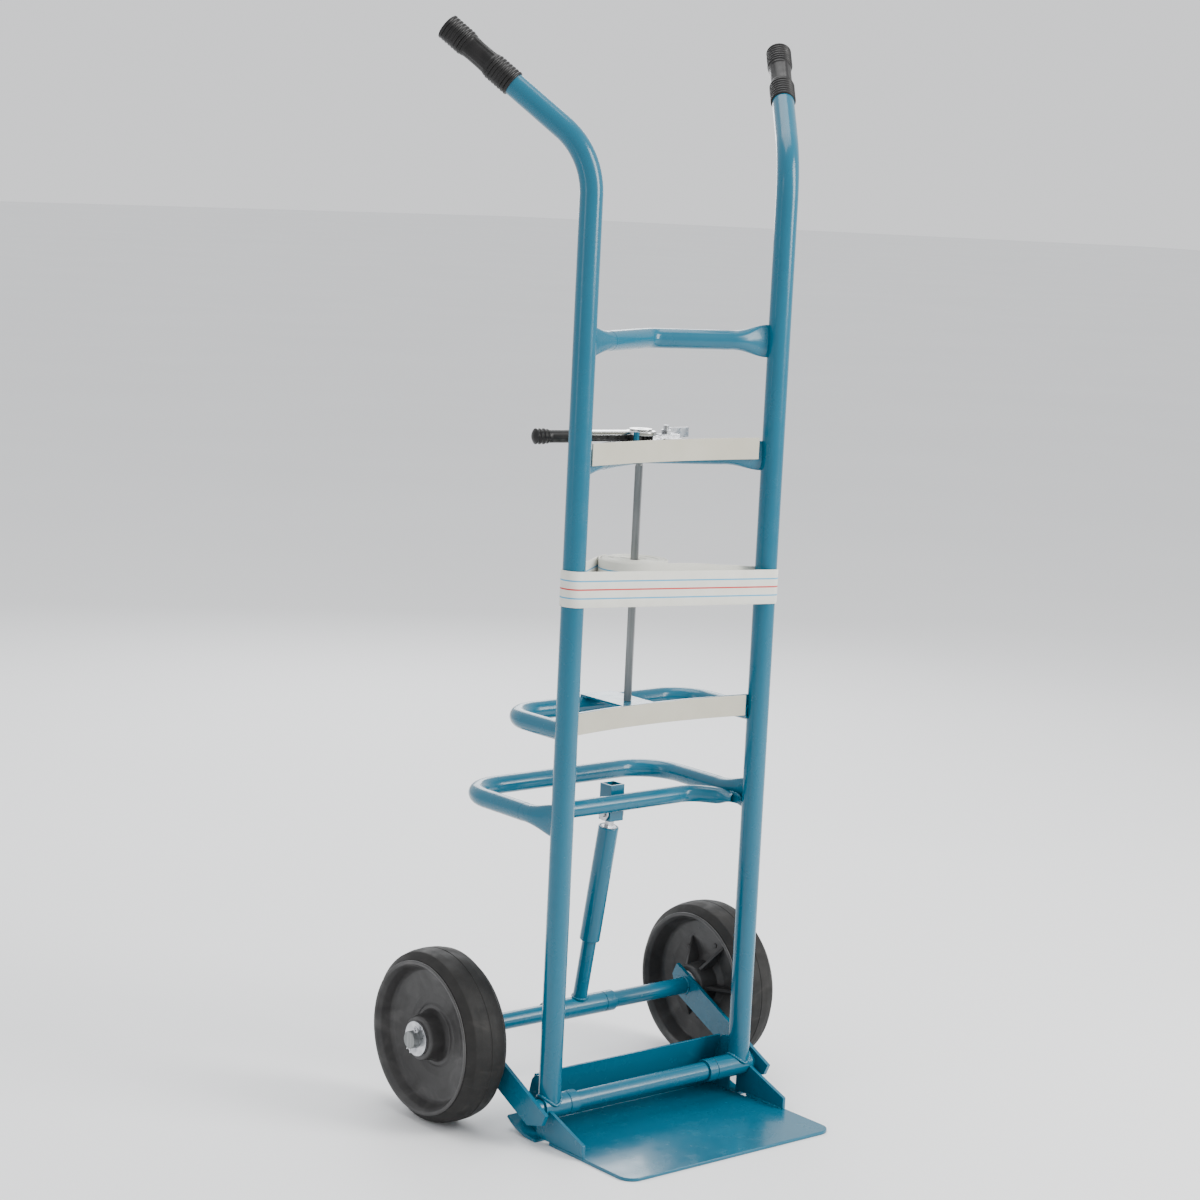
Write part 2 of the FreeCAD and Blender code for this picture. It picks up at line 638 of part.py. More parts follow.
def rim():
    """Moulded wheel: flanged rim, dished web, long hub, ribs on the inboard side."""
    bush_radius = 17.0
    seat = RIM_HALF - 4.5
    lip = RIM_HALF - 2.5
    profile = [
        (HUB_HALF, bush_radius), (HUB_HALF, HUB_RADIUS - 2), (HUB_HALF - 2, HUB_RADIUS),
        (14.0, HUB_RADIUS + 2), (7.0, HUB_RADIUS + 10), (6.0, 60.0), (12.0, 94.0), (17.0, 97.5),
        (seat, 103.0),
        (RIM_HALF, 107.0), (RIM_HALF, 110.5), (lip, 110.9), (seat, 104.0), (-seat, 104.0), (-lip, 110.9),
        (-RIM_HALF, 110.5), (-RIM_HALF, 107.0), (-seat, 102.0), (-6.0, 94.0), (-1.0, 60.0),
        (-1.0, HUB_RADIUS + 8), (-8.0, HUB_RADIUS), (-HUB_HALF + 2, HUB_RADIUS - 2),
        (-HUB_HALF, HUB_RADIUS - 4), (-HUB_HALF, bush_radius),
    ]
    solids = [revolved_about_x(profile, wheel_centre)]
    rib_outline = [V(-0.5, 0, 72.0), V(-30.0, 0, HUB_RADIUS - 2), V(-0.5, 0, HUB_RADIUS - 4)]
    for number in range(RIB_COUNT):
        rib = slab(rib_outline, wheel_centre - Y_AXIS * 2.5, Y_AXIS * 5.0)
        rib.rotate(wheel_centre, X_AXIS, 30 + 360.0 * number / RIB_COUNT)
        solids.append(rib)
    return joined(solids)


def hub_bush():
    half = X_AXIS * HUB_HALF
    return ring(wheel_centre - half, wheel_centre + half, 34.0, AXLE_OD + 2 * RUNNING_GAP)


for name, shape in (("tyre", tyre()), ("rim", rim()), ("hub_bush", hub_bush())):
    write("right_" + name, shape)
    write("left_" + name, other_side(shape))

# ---------------------------------------------------------------- telescopic strut
strut_run = strut_top - axle_point
strut_way = V(strut_run).normalize()
strut_side = V(0, strut_way.z, -strut_way.y)


def along_strut(distance):
    return axle_point + strut_way * distance


axle_space = rod(axle_point - X_AXIS * 100, axle_point + X_AXIS * 100, AXLE_OD + 2 * RUNNING_GAP)
strut_sleeve = rod(
    axle_point - X_AXIS * STRUT_SLEEVE_HALF, axle_point + X_AXIS * STRUT_SLEEVE_HALF, AXLE_SLEEVE_OD
)
strut_rod = rod(along_strut(0), along_strut(ROD_END), ROD_OD).cut(strut_sleeve)
write("strut_sleeve", strut_sleeve.cut(axle_space))
write("strut_rod", strut_rod)
write("strut_tube", ring(along_strut(STRUT_TUBE_START), along_strut(STRUT_TUBE_END), STRUT_OD, STRUT_BORE))


def strut_tongue():
    """Plug in the tube's top with a narrow tongue that reaches the pin."""
    plug = rod(along_strut(STRUT_TUBE_END - 10), along_strut(STRUT_TUBE_END), STRUT_BORE)
    tongue_half_x = 5.0
    tongue_half_y = 4.5
    reach = strut_run.Length + tongue_half_y
    corners = [(-1, -1), (1, -1), (1, 1), (-1, 1)]
    outline = [
        V(tongue_half_x * across, 0, 0) + strut_side * (tongue_half_y * along) for across, along in corners
    ]
    start = STRUT_TUBE_END - 5
    tongue = slab(outline, along_strut(start), strut_way * (reach - start))
    return joined([plug, tongue]).cut(rod(strut_top - X_AXIS * 20, strut_top + X_AXIS * 20, 6.0))


write("strut_tongue", strut_tongue())
pin_head = rod(strut_top - X_AXIS * 18.9, strut_top - X_AXIS * 15.9, 12.0)
strut_pin = joined([rod(strut_top - X_AXIS * 18.9, strut_top + X_AXIS * 22, 6.0), pin_head])
clip_at = strut_top + X_AXIS * 18.5
strut_pin = strut_pin.cut(rod(clip_at - Z_AXIS * 8, clip_at + Z_AXIS * 8, 2.0))
write("strut_pin", strut_pin)
pin_washers = [
    ring(strut_top + X_AXIS * (side * 13.9), strut_top + X_AXIS * (side * 15.4), 22.0, 6.0)
    for side in (-1, 1)
]
write("strut_pin_washers", Part.makeCompound(pin_washers))
clip_shank = rod(clip_at + Z_AXIS * 5, clip_at - Z_AXIS * 4, 2.0)
clip_eye = Part.makeTorus(2.6, 1.0, clip_at + Z_AXIS * 7, X_AXIS)
clip_tail = rod(clip_at - Z_AXIS * 3.4, clip_at - Z_AXIS * 14 + X_AXIS * 4, 2.0)
write("strut_pin_clip", joined([clip_shank, clip_eye, clip_tail]))

# ---------------------------------------------------------------- winder shaft, roll and strap
shaft_axis = V(0, SHAFT_Y, 0)
plate_top = plate_low + BEARING_PLATE_THICK
bracket_low = WINDER_BAR_Z + BAR_OD / 2
bracket_top = bracket_low + BRACKET_THICK
wheel_low = bracket_top + 1.0
wheel_top = wheel_low + 8.0
square_low = plate_top + FACE_GAP
square_top = WINDER_BAR_Z - BAR_OD / 2 - 3.0


def square_bar(side, low, high):
    bar = box((-side / 2, SHAFT_Y - side / 2, low), (side / 2, SHAFT_Y + side / 2, high))
    return at_angle(bar, shaft_axis, -SHAFT_TURN)


def winder_shaft():
    square = square_bar(SHAFT_SIDE, square_low, square_top)
    foot = rod(V(0, SHAFT_Y, plate_low - 3), V(0, SHAFT_Y, square_low + 1), LOWER_PIN_OD)
    journal = rod(V(0, SHAFT_Y, square_top - 1), V(0, SHAFT_Y, wheel_top + 9.5), JOURNAL_OD)
    return joined([square, foot, journal])


write("winder_shaft", winder_shaft())


def ratchet_wheel():
    """Saw-toothed wheel fixed on the shaft."""
    outer = RATCHET_OD / 2
    root = outer - 3.0
    pitch = 2 * pi / RATCHET_TEETH
    undercut = 0.04
    points = []
    for number in range(RATCHET_TEETH):
        angle = number * pitch
        points.append(V(outer * cos(angle), outer * sin(angle), 0))
        points.append(V(root * cos(angle + pitch - undercut), root * sin(angle + pitch - undercut), 0))
    disc = slab(points, V(0, SHAFT_Y, wheel_low), V(0, 0, wheel_top - wheel_low))
    return disc.cut(rod(V(0, SHAFT_Y, wheel_low - 1), V(0, SHAFT_Y, wheel_top + 1), JOURNAL_OD))


write("ratchet_wheel", ratchet_wheel())
cap_low = wheel_top + 8.5
hub_cap = ring(V(0, SHAFT_Y, cap_low - 1.5), V(0, SHAFT_Y, cap_low + 1.0), 33.0, JOURNAL_OD)
write("hub_cap", hub_cap)

roll_low = STRAP_Z - STRAP_WIDTH / 2
roll_high = STRAP_Z + STRAP_WIDTH / 2
strap_roll = rod(V(0, SHAFT_Y, roll_low), V(0, SHAFT_Y, roll_high), ROLL_OD)
write("strap_roll", strap_roll.cut(square_bar(SHAFT_SIDE, roll_low - 1, roll_high + 1)))


def belt_side(wraps, offset, level):
    """One face of a band led round circles, as edges, with its two end points.

    A wrap is (centre, radius of the band's middle, 1 if it turns left or -1 if right). The first
    starts at STRAP_TAIL_ANGLE and the last ends at STRAP_INNER_ANGLE; offset is to the left.
    """
    headings = []
    for (here, near, turn), (there, far, next_turn) in zip(wraps, wraps[1:]):
        run = there - here
        lean = (next_turn * far - turn * near) / run.Length
        headings.append(atan2(run.y, run.x) - atan2(lean, sqrt(1 - lean * lean)))
    edges = []
    last = None
    for number, (centre, middle, turn) in enumerate(wraps):
        quarter = turn * pi / 2
        begin = headings[number - 1] - quarter if number else radians(STRAP_TAIL_ANGLE)
        end = headings[number] - quarter if number < len(headings) else radians(STRAP_INNER_ANGLE)
        sweep = (turn * (end - begin)) % (2 * pi) * turn
        radius = middle - turn * offset

        def at(angle):
            return V(centre.x + radius * cos(angle), centre.y + radius * sin(angle), level)
        if last:
            edges.append(Part.LineSegment(last, at(begin)))
        edges.append(Part.Arc(at(begin), at(begin + sweep / 2), at(begin + sweep)))
        last = at(begin + sweep)
        if number == 0:
            first = at(begin)
    return edges, first, last


def strap():
    """Webbing from behind the roll, round both uprights, and back on to the roll's front."""
    round_upright = UPRIGHT_OD / 2 + STRAP_THICK / 2
    round_roll = ROLL_OD / 2 + STRAP_ROLL_GAP + STRAP_THICK / 2
    roll_centre = V(0, SHAFT_Y, 0)
    wraps = [
        (roll_centre, round_roll + STRAP_THICK + STRAP_LAYER_GAP, 1), (V(-UPRIGHT_X, 0, 0), round_upright, 1),
        (V(UPRIGHT_X, 0, 0), round_upright, 1), (roll_centre, round_roll, -1),
    ]
    left_edges, left_first, left_last = belt_side(wraps, STRAP_THICK / 2, roll_low)
    right_edges, right_first, right_last = belt_side(wraps, -STRAP_THICK / 2, roll_low)
    closing = [Part.LineSegment(left_first, right_first), Part.LineSegment(left_last, right_last)]
    edges = [edge.toShape() for edge in left_edges + right_edges + closing]
    wire = Part.Wire(Part.__sortEdges__(edges))
    return Part.Face(wire).extrude(V(0, 0, STRAP_WIDTH))


write("strap", strap())


# ---------------------------------------------------------------- ratchet head
def winder_bracket():
    """Flat plate on the crossbar: pointed at the left, holes for the shaft and the pawl's bolt."""
    front = SHAFT_Y - BRACKET_FRONT
    rear = SHAFT_Y + PAWL_PIVOT_DY + 14
    right = PAWL_PIVOT_X + 32
    outline = [
        V(-88, front + 8, 0), V(-60, front, 0), V(right, front, 0), V(right, rear, 0), V(-20, rear, 0),
    ]
    plate = slab(outline, V(0, 0, bracket_low), V(0, 0, BRACKET_THICK))
    return plate.cut(shaft_hole).cut(pawl_bolt_space())


pawl_x = PAWL_PIVOT_X
pawl_y = SHAFT_Y + PAWL_PIVOT_DY


def pawl_bolt_space():
    return rod(V(pawl_x, pawl_y, bracket_low - 1), V(pawl_x, pawl_y, bracket_top + 1), 8.0)


write("winder_bracket", winder_bracket())
pawl_low = wheel_low + 0.5
pawl_high = pawl_low + PAWL_HEIGHT
bolt_top = pawl_high + 13.0
bolt = rod(V(pawl_x, pawl_y, bracket_low), V(pawl_x, pawl_y, bolt_top), 8.0)
write("pawl_bolt", bolt)
nut_outline = [V(7.4 * cos(pi * k / 3), 7.4 * sin(pi * k / 3), 0) for k in range(6)]
nut = slab(nut_outline, V(pawl_x, pawl_y, pawl_high + FACE_GAP), V(0, 0, 6.0))
write("pawl_nut", nut.cut(rod(V(pawl_x, pawl_y, pawl_low), V(pawl_x, pawl_y, bolt_top + 1), 8.0)))


def holding_pawl():
    """Bar whose nose stops the ratchet wheel running back; drawn from the shaft's axis."""
    nose_x = 7.4
    block = PAWL_PIVOT_DY - 7.0
    neck_low = pawl_low + 1.4
    neck_high = pawl_high - 1.4
    outline = [
        V(nose_x, 14.3, 0), V(12.5, 15.2, 0), V(22.0, block, 0), V(80.0, block, 0), V(80.0, block + 14, 0),
        V(24.0, block + 14, 0), V(14.0, 19.5, 0), V(nose_x, 16.9, 0),
    ]
    bar = slab(outline, V(0, SHAFT_Y, pawl_low), V(0, 0, pawl_high - pawl_low))
    bore = rod(V(pawl_x, pawl_y, pawl_low - 1), V(pawl_x, pawl_y, pawl_high + 1), 8.0 + 2 * RUNNING_GAP)
    neck_below = box((36, SHAFT_Y, pawl_low - 1), (47, SHAFT_Y + 40, neck_low))
    neck_above = box((36, SHAFT_Y, neck_high), (47, SHAFT_Y + 40, pawl_high + 1))
    return bar.cut(bore).cut(neck_below).cut(neck_above)


def pawl_lifted(shape):
    return at_angle(shape, V(pawl_x, pawl_y, 0), -PAWL_LIFT)


write("holding_pawl", pawl_lifted(holding_pawl()))
tab_front = pawl_y + 7.0
release_tab = box((70, tab_front, pawl_low), (107, tab_front + 3.0, pawl_high + 8.5))
write("release_tab", pawl_lifted(release_tab))

stop_pin_at = V(STOP_PIN_X, SHAFT_Y + STOP_PIN_DY, 0)
stop_ear = box(
    (STOP_PIN_X - 7, SHAFT_Y + STOP_PIN_DY - 7, bracket_low),
    (STOP_PIN_X + 7, SHAFT_Y - BRACKET_FRONT, bracket_top),
)
stop_pin = rod(stop_pin_at + Z_AXIS * bracket_top, stop_pin_at + Z_AXIS * (bracket_top + 16.5), STOP_PIN_OD)
write("lever_stop", joined([stop_ear, stop_pin]))


def lever_local(shape):
    """Shapes for the lever are drawn along +X from the shaft's axis, then turned into place."""
    return at_angle(shape, shaft_axis, LEVER_ANGLE)


head_gap = RATCHET_OD / 2 + 1.2
drive_x = RATCHET_OD / 2 + 11.0
drive_pin_od = 4.0
bar_low = wheel_low
bar_high = wheel_low + 8.4
shell_low = bar_high
shell_high = shell_low + 6.2


def lever_bar():
    """Dark forged bar: a ring round the ratchet wheel and a shank out to the grip."""
    ring_part = ring(V(0, SHAFT_Y, bar_low), V(0, SHAFT_Y, bar_high), 2 * head_gap + 9, 2 * head_gap)
    shank = box((head_gap + 1, SHAFT_Y - 8, bar_low), (LEVER_LENGTH - 8, SHAFT_Y + 8, bar_high))
    opening = box((-40, SHAFT_Y - 40, bar_low - 1), (14, SHAFT_Y + 40, bar_high + 1))
    pocket = box((head_gap - 3, SHAFT_Y - 4.8, bar_low + 0.8), (head_gap + 18, SHAFT_Y + 4.8, bar_high + 1))
    pin_space = rod(V(drive_x, SHAFT_Y, bar_low - 1), V(drive_x, SHAFT_Y, bar_low + 1), drive_pin_od)
    return lever_local(joined([ring_part.cut(opening), shank]).cut(pocket).cut(pin_space))


write("lever_bar", lever_bar())


def lever_shell():
    """Pressed plated cover over the bar, wider round the hub."""
    hub = rod(V(0, SHAFT_Y, shell_low), V(0, SHAFT_Y, shell_high), 2 * head_gap + 6)
    arm_part = box((0, SHAFT_Y - 10, shell_low), (104, SHAFT_Y + 10, shell_high))
    whole = joined([hub, arm_part])
    bore = rod(V(0, SHAFT_Y, shell_low - 1), V(0, SHAFT_Y, shell_high + 1), JOURNAL_OD + 2 * RUNNING_GAP)
    return lever_local(whole.cut(bore))


write("lever_shell", lever_shell())


def lever_grip():
    """Rubber grip: a plain sleeve with a ribbed bulb at its end."""
    z = (bar_low + bar_high) / 2 + 2.2
    start = V(106, SHAFT_Y, z)
    sleeve_end = V(LEVER_LENGTH - 24, SHAFT_Y, z)
    end = V(LEVER_LENGTH, SHAFT_Y, z)
    solids = [rod(start, end - X_AXIS * 2, 19.0)]
    for number in range(4):
        low = sleeve_end + X_AXIS * (6.0 * number)
        solids.append(rod(low, low + X_AXIS * 4.6, 23.5))
    solids.append(rod(sleeve_end, end - X_AXIS * 1.0, 21.5))
    tang = box((100, SHAFT_Y - 8, bar_low), (LEVER_LENGTH - 8, SHAFT_Y + 8, bar_high))
    return lever_local(joined(solids).cut(tang))


write("lever_grip", lever_grip())

tip_x = RATCHET_OD / 2 + 0.35


def drive_pawl():
    """Plunger in the bar's pocket, drawn back from the teeth; its slot rides on a pin."""
    heel_x = drive_x + 5.5
    outline = [
        V(tip_x, SHAFT_Y, 0), V(tip_x + 3.6, SHAFT_Y + 3.2, 0), V(heel_x, SHAFT_Y + 4.2, 0),
        V(heel_x, SHAFT_Y - 4.2, 0), V(tip_x + 3.6, SHAFT_Y - 3.2, 0),
    ]
    block = slab(outline, V(0, 0, bar_low + 1.2), V(0, 0, 5.5))
    slot_radius = drive_pin_od / 2 + 0.3
    middle_x = drive_x + DRIVE_PAWL_TRAVEL / 2
    for end_x in (middle_x - DRIVE_PAWL_TRAVEL / 2, middle_x + DRIVE_PAWL_TRAVEL / 2):
        block = block.cut(rod(V(end_x, SHAFT_Y, bar_low), V(end_x, SHAFT_Y, bar_high), 2 * slot_radius))
    slot = box(
        (middle_x - DRIVE_PAWL_TRAVEL / 2, SHAFT_Y - slot_radius, bar_low),
        (middle_x + DRIVE_PAWL_TRAVEL / 2, SHAFT_Y + slot_radius, bar_high),
    )
    return block.cut(slot)


write("drive_pawl", lever_local(drive_pawl()))
drive_pin = rod(V(drive_x, SHAFT_Y, bar_low), V(drive_x, SHAFT_Y, bar_high), drive_pin_od)
write("drive_pawl_pin", lever_local(drive_pin))

print(len(written), "pieces")
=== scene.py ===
"""Looks of an appliance hand truck: materials, wheels, grips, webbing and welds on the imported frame."""
import json
import random
from math import asin, atan2, ceil, cos, pi, radians, sin, sqrt

import bmesh
import bpy
from mathutils import Matrix, Vector


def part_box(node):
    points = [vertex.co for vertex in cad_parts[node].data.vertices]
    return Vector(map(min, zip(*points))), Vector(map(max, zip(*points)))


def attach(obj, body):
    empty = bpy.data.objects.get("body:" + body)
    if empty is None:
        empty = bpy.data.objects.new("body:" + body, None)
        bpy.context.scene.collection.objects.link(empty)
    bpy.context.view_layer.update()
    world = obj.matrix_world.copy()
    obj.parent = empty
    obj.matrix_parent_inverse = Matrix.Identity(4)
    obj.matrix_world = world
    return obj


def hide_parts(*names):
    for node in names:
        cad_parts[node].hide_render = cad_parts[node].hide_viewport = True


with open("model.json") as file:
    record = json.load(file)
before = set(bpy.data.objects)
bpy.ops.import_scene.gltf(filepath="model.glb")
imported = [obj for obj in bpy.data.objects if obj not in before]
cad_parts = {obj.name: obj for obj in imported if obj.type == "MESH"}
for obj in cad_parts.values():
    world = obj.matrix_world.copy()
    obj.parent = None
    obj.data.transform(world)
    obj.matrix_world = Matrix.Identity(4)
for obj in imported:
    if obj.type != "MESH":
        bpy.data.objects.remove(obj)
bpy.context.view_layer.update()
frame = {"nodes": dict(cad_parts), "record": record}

MM = 0.001
X_AXIS = Vector((1, 0, 0))
Y_AXIS = Vector((0, 1, 0))
Z_AXIS = Vector((0, 0, 1))

# ---- sizes shared with the frame, in metres
UPRIGHT_X = 179 * MM
UPRIGHT_RADIUS = 16 * MM
KNEE = Vector((UPRIGHT_X, 0, 1375 * MM))
KNEE_RADIUS = 110 * MM
GRIP_END = Vector((304.5 * MM, 170 * MM, 1535.5 * MM))
GRIP_LENGTH = 122 * MM
GRIP_RADIUS = 18.5 * MM
TUBE_IN_GRIP = 9 * MM        # how far the upright reaches into its grip
TUBE_SIDES = 40
COPE_HEIGHT = 30 * MM        # above the pivot, where the upright's foot turns from round to coped
PIVOT_Z = 50 * MM
SLEEVE_RADIUS = 16.85 * MM
SHAFT_Y = 84 * MM
LEVER_ANGLE = radians(166)
STRAP_WIDTH = 50 * MM
FLOOR_HALF = 45.0
STRAP_THICK = 2.0 * MM
STRIPE_HALF = 0.020          # half a stripe's width, as a share of the strap's width
WEAVE_PITCH = 2.3 * MM       # one crossing thread pair along the strap
WEAVE_ENDS = 26              # thread pairs across the strap
ROLL_RADIUS = 48.5 * MM
BODY_OF = {node: body for body, nodes in frame["record"]["behaviour"]["bodies"].items() for node in nodes}
SLOT_OF = {part["node"]: part["material_slot"] for part in frame["record"]["subparts"]}


def middle(node):
    low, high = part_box(node)
    return (low + high) / 2


# ---------------------------------------------------------------- camera, floor and light
def make_camera():
    yaw, pitch, roll = 0.6952, 0.1571, 0.048
    right = Vector((cos(yaw), -sin(yaw), 0))
    forward = Vector((sin(yaw) * cos(pitch), cos(yaw) * cos(pitch), -sin(pitch)))
    up = right.cross(forward)
    across = right * cos(roll) + up * sin(roll)
    upward = up * cos(roll) - right * sin(roll)
    data = bpy.data.cameras.new("camera")
    data.sensor_width = 36.0
    data.lens = 84.1
    data.clip_end = 60.0
    camera = bpy.data.objects.new("camera", data)
    axes = Matrix((across, upward, -forward)).transposed().to_4x4()
    camera.matrix_world = Matrix.Translation((-2.57484, -2.93062, 1.3732)) @ axes
    bpy.context.scene.collection.objects.link(camera)
    bpy.context.scene.camera = camera


def soft_light(name, place, size, power, tint):
    data = bpy.data.lights.new(name, "AREA")
    data.shape = "RECTANGLE"
    data.size, data.size_y = size
    data.energy = power
    data.color = tint
    light = bpy.data.objects.new(name, data)
    light.location = place
    aim = Vector((0, 0, 0.7)) - Vector(place)
    light.rotation_euler = aim.to_track_quat("-Z", "Y").to_euler()
    bpy.context.scene.collection.objects.link(light)


def make_studio():
    world = bpy.data.worlds.new("studio")
    world.use_nodes = True
    background = world.node_tree.nodes["Background"]
    background.inputs["Color"].default_value = (0.97, 0.98, 1.0, 1)
    background.inputs["Strength"].default_value = 1.1
    bpy.context.scene.world = world
    soft_light("key", (1.9, -2.9, 2.4), (1.4, 2.8), 190, (1.0, 0.99, 0.97))
    soft_light("side", (-3.4, 0.2, 1.8), (0.5, 2.4), 12, (0.95, 0.97, 1.0))
    soft_light("top", (0.2, 0.6, 3.8), (2.4, 2.4), 70, (1.0, 1.0, 1.0))
    soft_light("back", (1.8, 3.0, 2.2), (1.6, 2.2), 60, (0.97, 0.98, 1.0))


# ---------------------------------------------------------------- materials
class Surface:
    """A node material built up from a few kinds of pattern."""

    def __init__(self, name, roughness=0.5, metallic=0.0, **sockets):
        self.material = bpy.data.materials.new(name)
        self.material.use_nodes = True
        self.tree = self.material.node_tree
        self.shader = self.tree.nodes["Principled BSDF"]
        self.shader.inputs["Roughness"].default_value = roughness
        self.shader.inputs["Metallic"].default_value = metallic
        for socket, value in sockets.items():
            self.shader.inputs[socket.replace("_", " ")].default_value = value
        self.place = self.node("ShaderNodeTexCoord")
        self.height = None

    def node(self, kind, **settings):
        node = self.tree.nodes.new(kind)
        for name, value in settings.items():
            setattr(node, name, value)
        return node

    def join(self, output, socket):
        self.tree.links.new(output, socket)

    def noise(self, scale, detail=3.0, stretch=(1, 1, 1), distortion=0.0):
        mapping = self.node("ShaderNodeMapping")
        mapping.inputs["Scale"].default_value = stretch
        self.join(self.place.outputs["Object"], mapping.inputs["Vector"])
        noise = self.node("ShaderNodeTexNoise")
        noise.inputs["Scale"].default_value = scale
        noise.inputs["Detail"].default_value = detail
        noise.inputs["Distortion"].default_value = distortion
        self.join(mapping.outputs["Vector"], noise.inputs["Vector"])
        return noise.outputs["Fac"]

    def ramp(self, value, stops, sharp=False):
        ramp = self.node("ShaderNodeValToRGB")
        elements = ramp.color_ramp.elements
        while len(elements) < len(stops):
            elements.new(1.0)
        for element, (position, colour) in zip(elements, stops):
            element.position = position
            element.color = (*colour, 1)
        if sharp:
            ramp.color_ramp.interpolation = "CONSTANT"
        self.join(value, ramp.inputs["Fac"])
        return ramp.outputs["Color"]

    def colour(self, output):
        self.join(output, self.shader.inputs["Base Color"])
        return self

    def mixed(self, factor, first, second, blend="MIX"):
        mix = self.node("ShaderNodeMix", data_type="RGBA", blend_type=blend)
        if isinstance(factor, float):
            mix.inputs[0].default_value = factor
        else:
            self.join(factor, mix.inputs[0])
        self.join(first, mix.inputs[6])
        self.join(second, mix.inputs[7])
        return mix.outputs[2]

    def math(self, operation, first, second=None):
        node = self.node("ShaderNodeMath", operation=operation)
        for socket, value in zip(node.inputs, (first, second)):
            if isinstance(value, (int, float)):
                socket.default_value = value
            elif value is not None:
                self.join(value, socket)
        return node.outputs[0]

    def rough(self, value, low, high):
        spread = self.node("ShaderNodeMapRange")
        spread.inputs["From Min"].default_value = 0.3
        spread.inputs["From Max"].default_value = 0.7
        spread.inputs["To Min"].default_value = low
        spread.inputs["To Max"].default_value = high
        self.join(value, spread.inputs["Value"])
        self.join(spread.outputs["Result"], self.shader.inputs["Roughness"])
        return self

    def bump(self, value, depth, strength=1.0):
        """Relief of one pattern; a second call adds to the first."""
        bump = self.node("ShaderNodeBump")
        bump.inputs["Distance"].default_value = depth
        bump.inputs["Strength"].default_value = strength
        self.join(value, bump.inputs["Height"])
        if self.height:
            self.join(self.height, bump.inputs["Normal"])
        self.height = bump.outputs["Normal"]
        self.join(self.height, self.shader.inputs["Normal"])
        return self


def paint(name):
    """Glossy blue enamel with a faint orange peel."""
    surface = Surface(name, 0.25, Coat_Weight=0.18, Coat_Roughness=0.08, Specular_IOR_Level=0.38)
    tone = surface.noise(5.0, 4.0)
    surface.colour(surface.ramp(tone, [(0.3, (0.0, 0.094, 0.158)), (0.7, (0.0, 0.108, 0.178))]))
    surface.rough(surface.noise(38.0), 0.2, 0.3)
    surface.bump(surface.noise(22.0, 2.0), 0.0002, 0.06)
    surface.bump(surface.noise(260.0, 1.0), 0.00004, 0.06)
    return surface.material


def plated(name, dark, light, roughness, stretch=(1, 1, 1), scale=90.0):
    """Plated or drawn metal with a cloudy, slightly directional finish."""
    surface = Surface(name, roughness, 1.0)
    surface.colour(surface.ramp(surface.noise(scale, 5.0, stretch), [(0.3, dark), (0.7, light)]))
    surface.rough(surface.noise(scale * 1.7, 4.0, stretch), roughness * 0.75, roughness * 1.3)
    surface.bump(surface.noise(scale * 4, 3.0, stretch), 0.0001, 0.4)
    return surface.material


def black_steel(name):
    surface = Surface(name, 0.35, 0.7)
    tone = surface.noise(120.0, 4.0)
    surface.colour(surface.ramp(tone, [(0.35, (0.012, 0.012, 0.012)), (0.75, (0.05, 0.05, 0.048))]))
    surface.rough(surface.noise(160.0, 3.0), 0.25, 0.5)
    surface.bump(surface.noise(600.0, 2.0), 0.0001, 0.4)
    return surface.material


def grip_vinyl(name):
    surface = Surface(name, 0.4, Specular_IOR_Level=0.28)
    tone = surface.noise(60.0, 4.0)
    surface.colour(surface.ramp(tone, [(0.3, (0.004, 0.004, 0.004)), (0.75, (0.012, 0.011, 0.011))]))
    surface.rough(surface.noise(90.0, 3.0), 0.32, 0.48)
    surface.bump(surface.noise(500.0, 2.0), 0.0001, 0.3)
    return surface.material


def tyre_rubber(name):
    surface = Surface(name, 0.65, Specular_IOR_Level=0.28)
    tone = surface.noise(30.0, 5.0)
    clean = surface.ramp(tone, [(0.3, (0.006, 0.006, 0.006)), (0.75, (0.016, 0.015, 0.014))])
    scuffing = surface.noise(24.0, 6.0, (1, 0.35, 2.2), 1.2)
    scuffs = surface.ramp(scuffing, [(0.56, (0, 0, 0)), (0.72, (0.22, 0.22, 0.22))])
    dust = surface.ramp(surface.noise(8.0), [(0.0, (0.05, 0.045, 0.04)), (1.0, (0.07, 0.065, 0.06))])
    surface.colour(surface.mixed(scuffs, clean, dust))
    surface.rough(surface.noise(45.0, 4.0), 0.55, 0.75)
    surface.bump(surface.noise(700.0, 2.0), 0.00015, 0.5)
    surface.bump(surface.noise(60.0, 4.0, (1, 0.4, 1.8)), 0.0004, 0.3)
    return surface.material


def wheel_plastic(name):
    """Dark grey moulded wheel, with flow marks round the hub."""
    surface = Surface(name, 0.45, Specular_IOR_Level=0.36)
    flow = surface.noise(14.0, 7.0, (1, 1, 1.6), 1.4)
    stops = [(0.3, (0.026, 0.025, 0.025)), (0.55, (0.042, 0.041, 0.041)), (0.8, (0.075, 0.073, 0.071))]
    surface.colour(surface.ramp(flow, stops))
    surface.rough(surface.noise(22.0, 5.0, distortion=0.8), 0.3, 0.5)
    surface.bump(surface.noise(320.0, 3.0), 0.00025, 0.4)
    surface.bump(surface.noise(18.0, 3.0), 0.0008, 0.25)
    return surface.material


def pad_plastic(name):
    surface = Surface(name, 0.5)
    tone = surface.noise(18.0, 5.0)
    surface.colour(surface.ramp(tone, [(0.3, (0.43, 0.41, 0.33)), (0.7, (0.47, 0.45, 0.37))]))
    surface.rough(surface.noise(50.0, 3.0), 0.42, 0.58)
    surface.bump(surface.noise(900.0, 2.0), 0.00012, 0.5)
    return surface.material


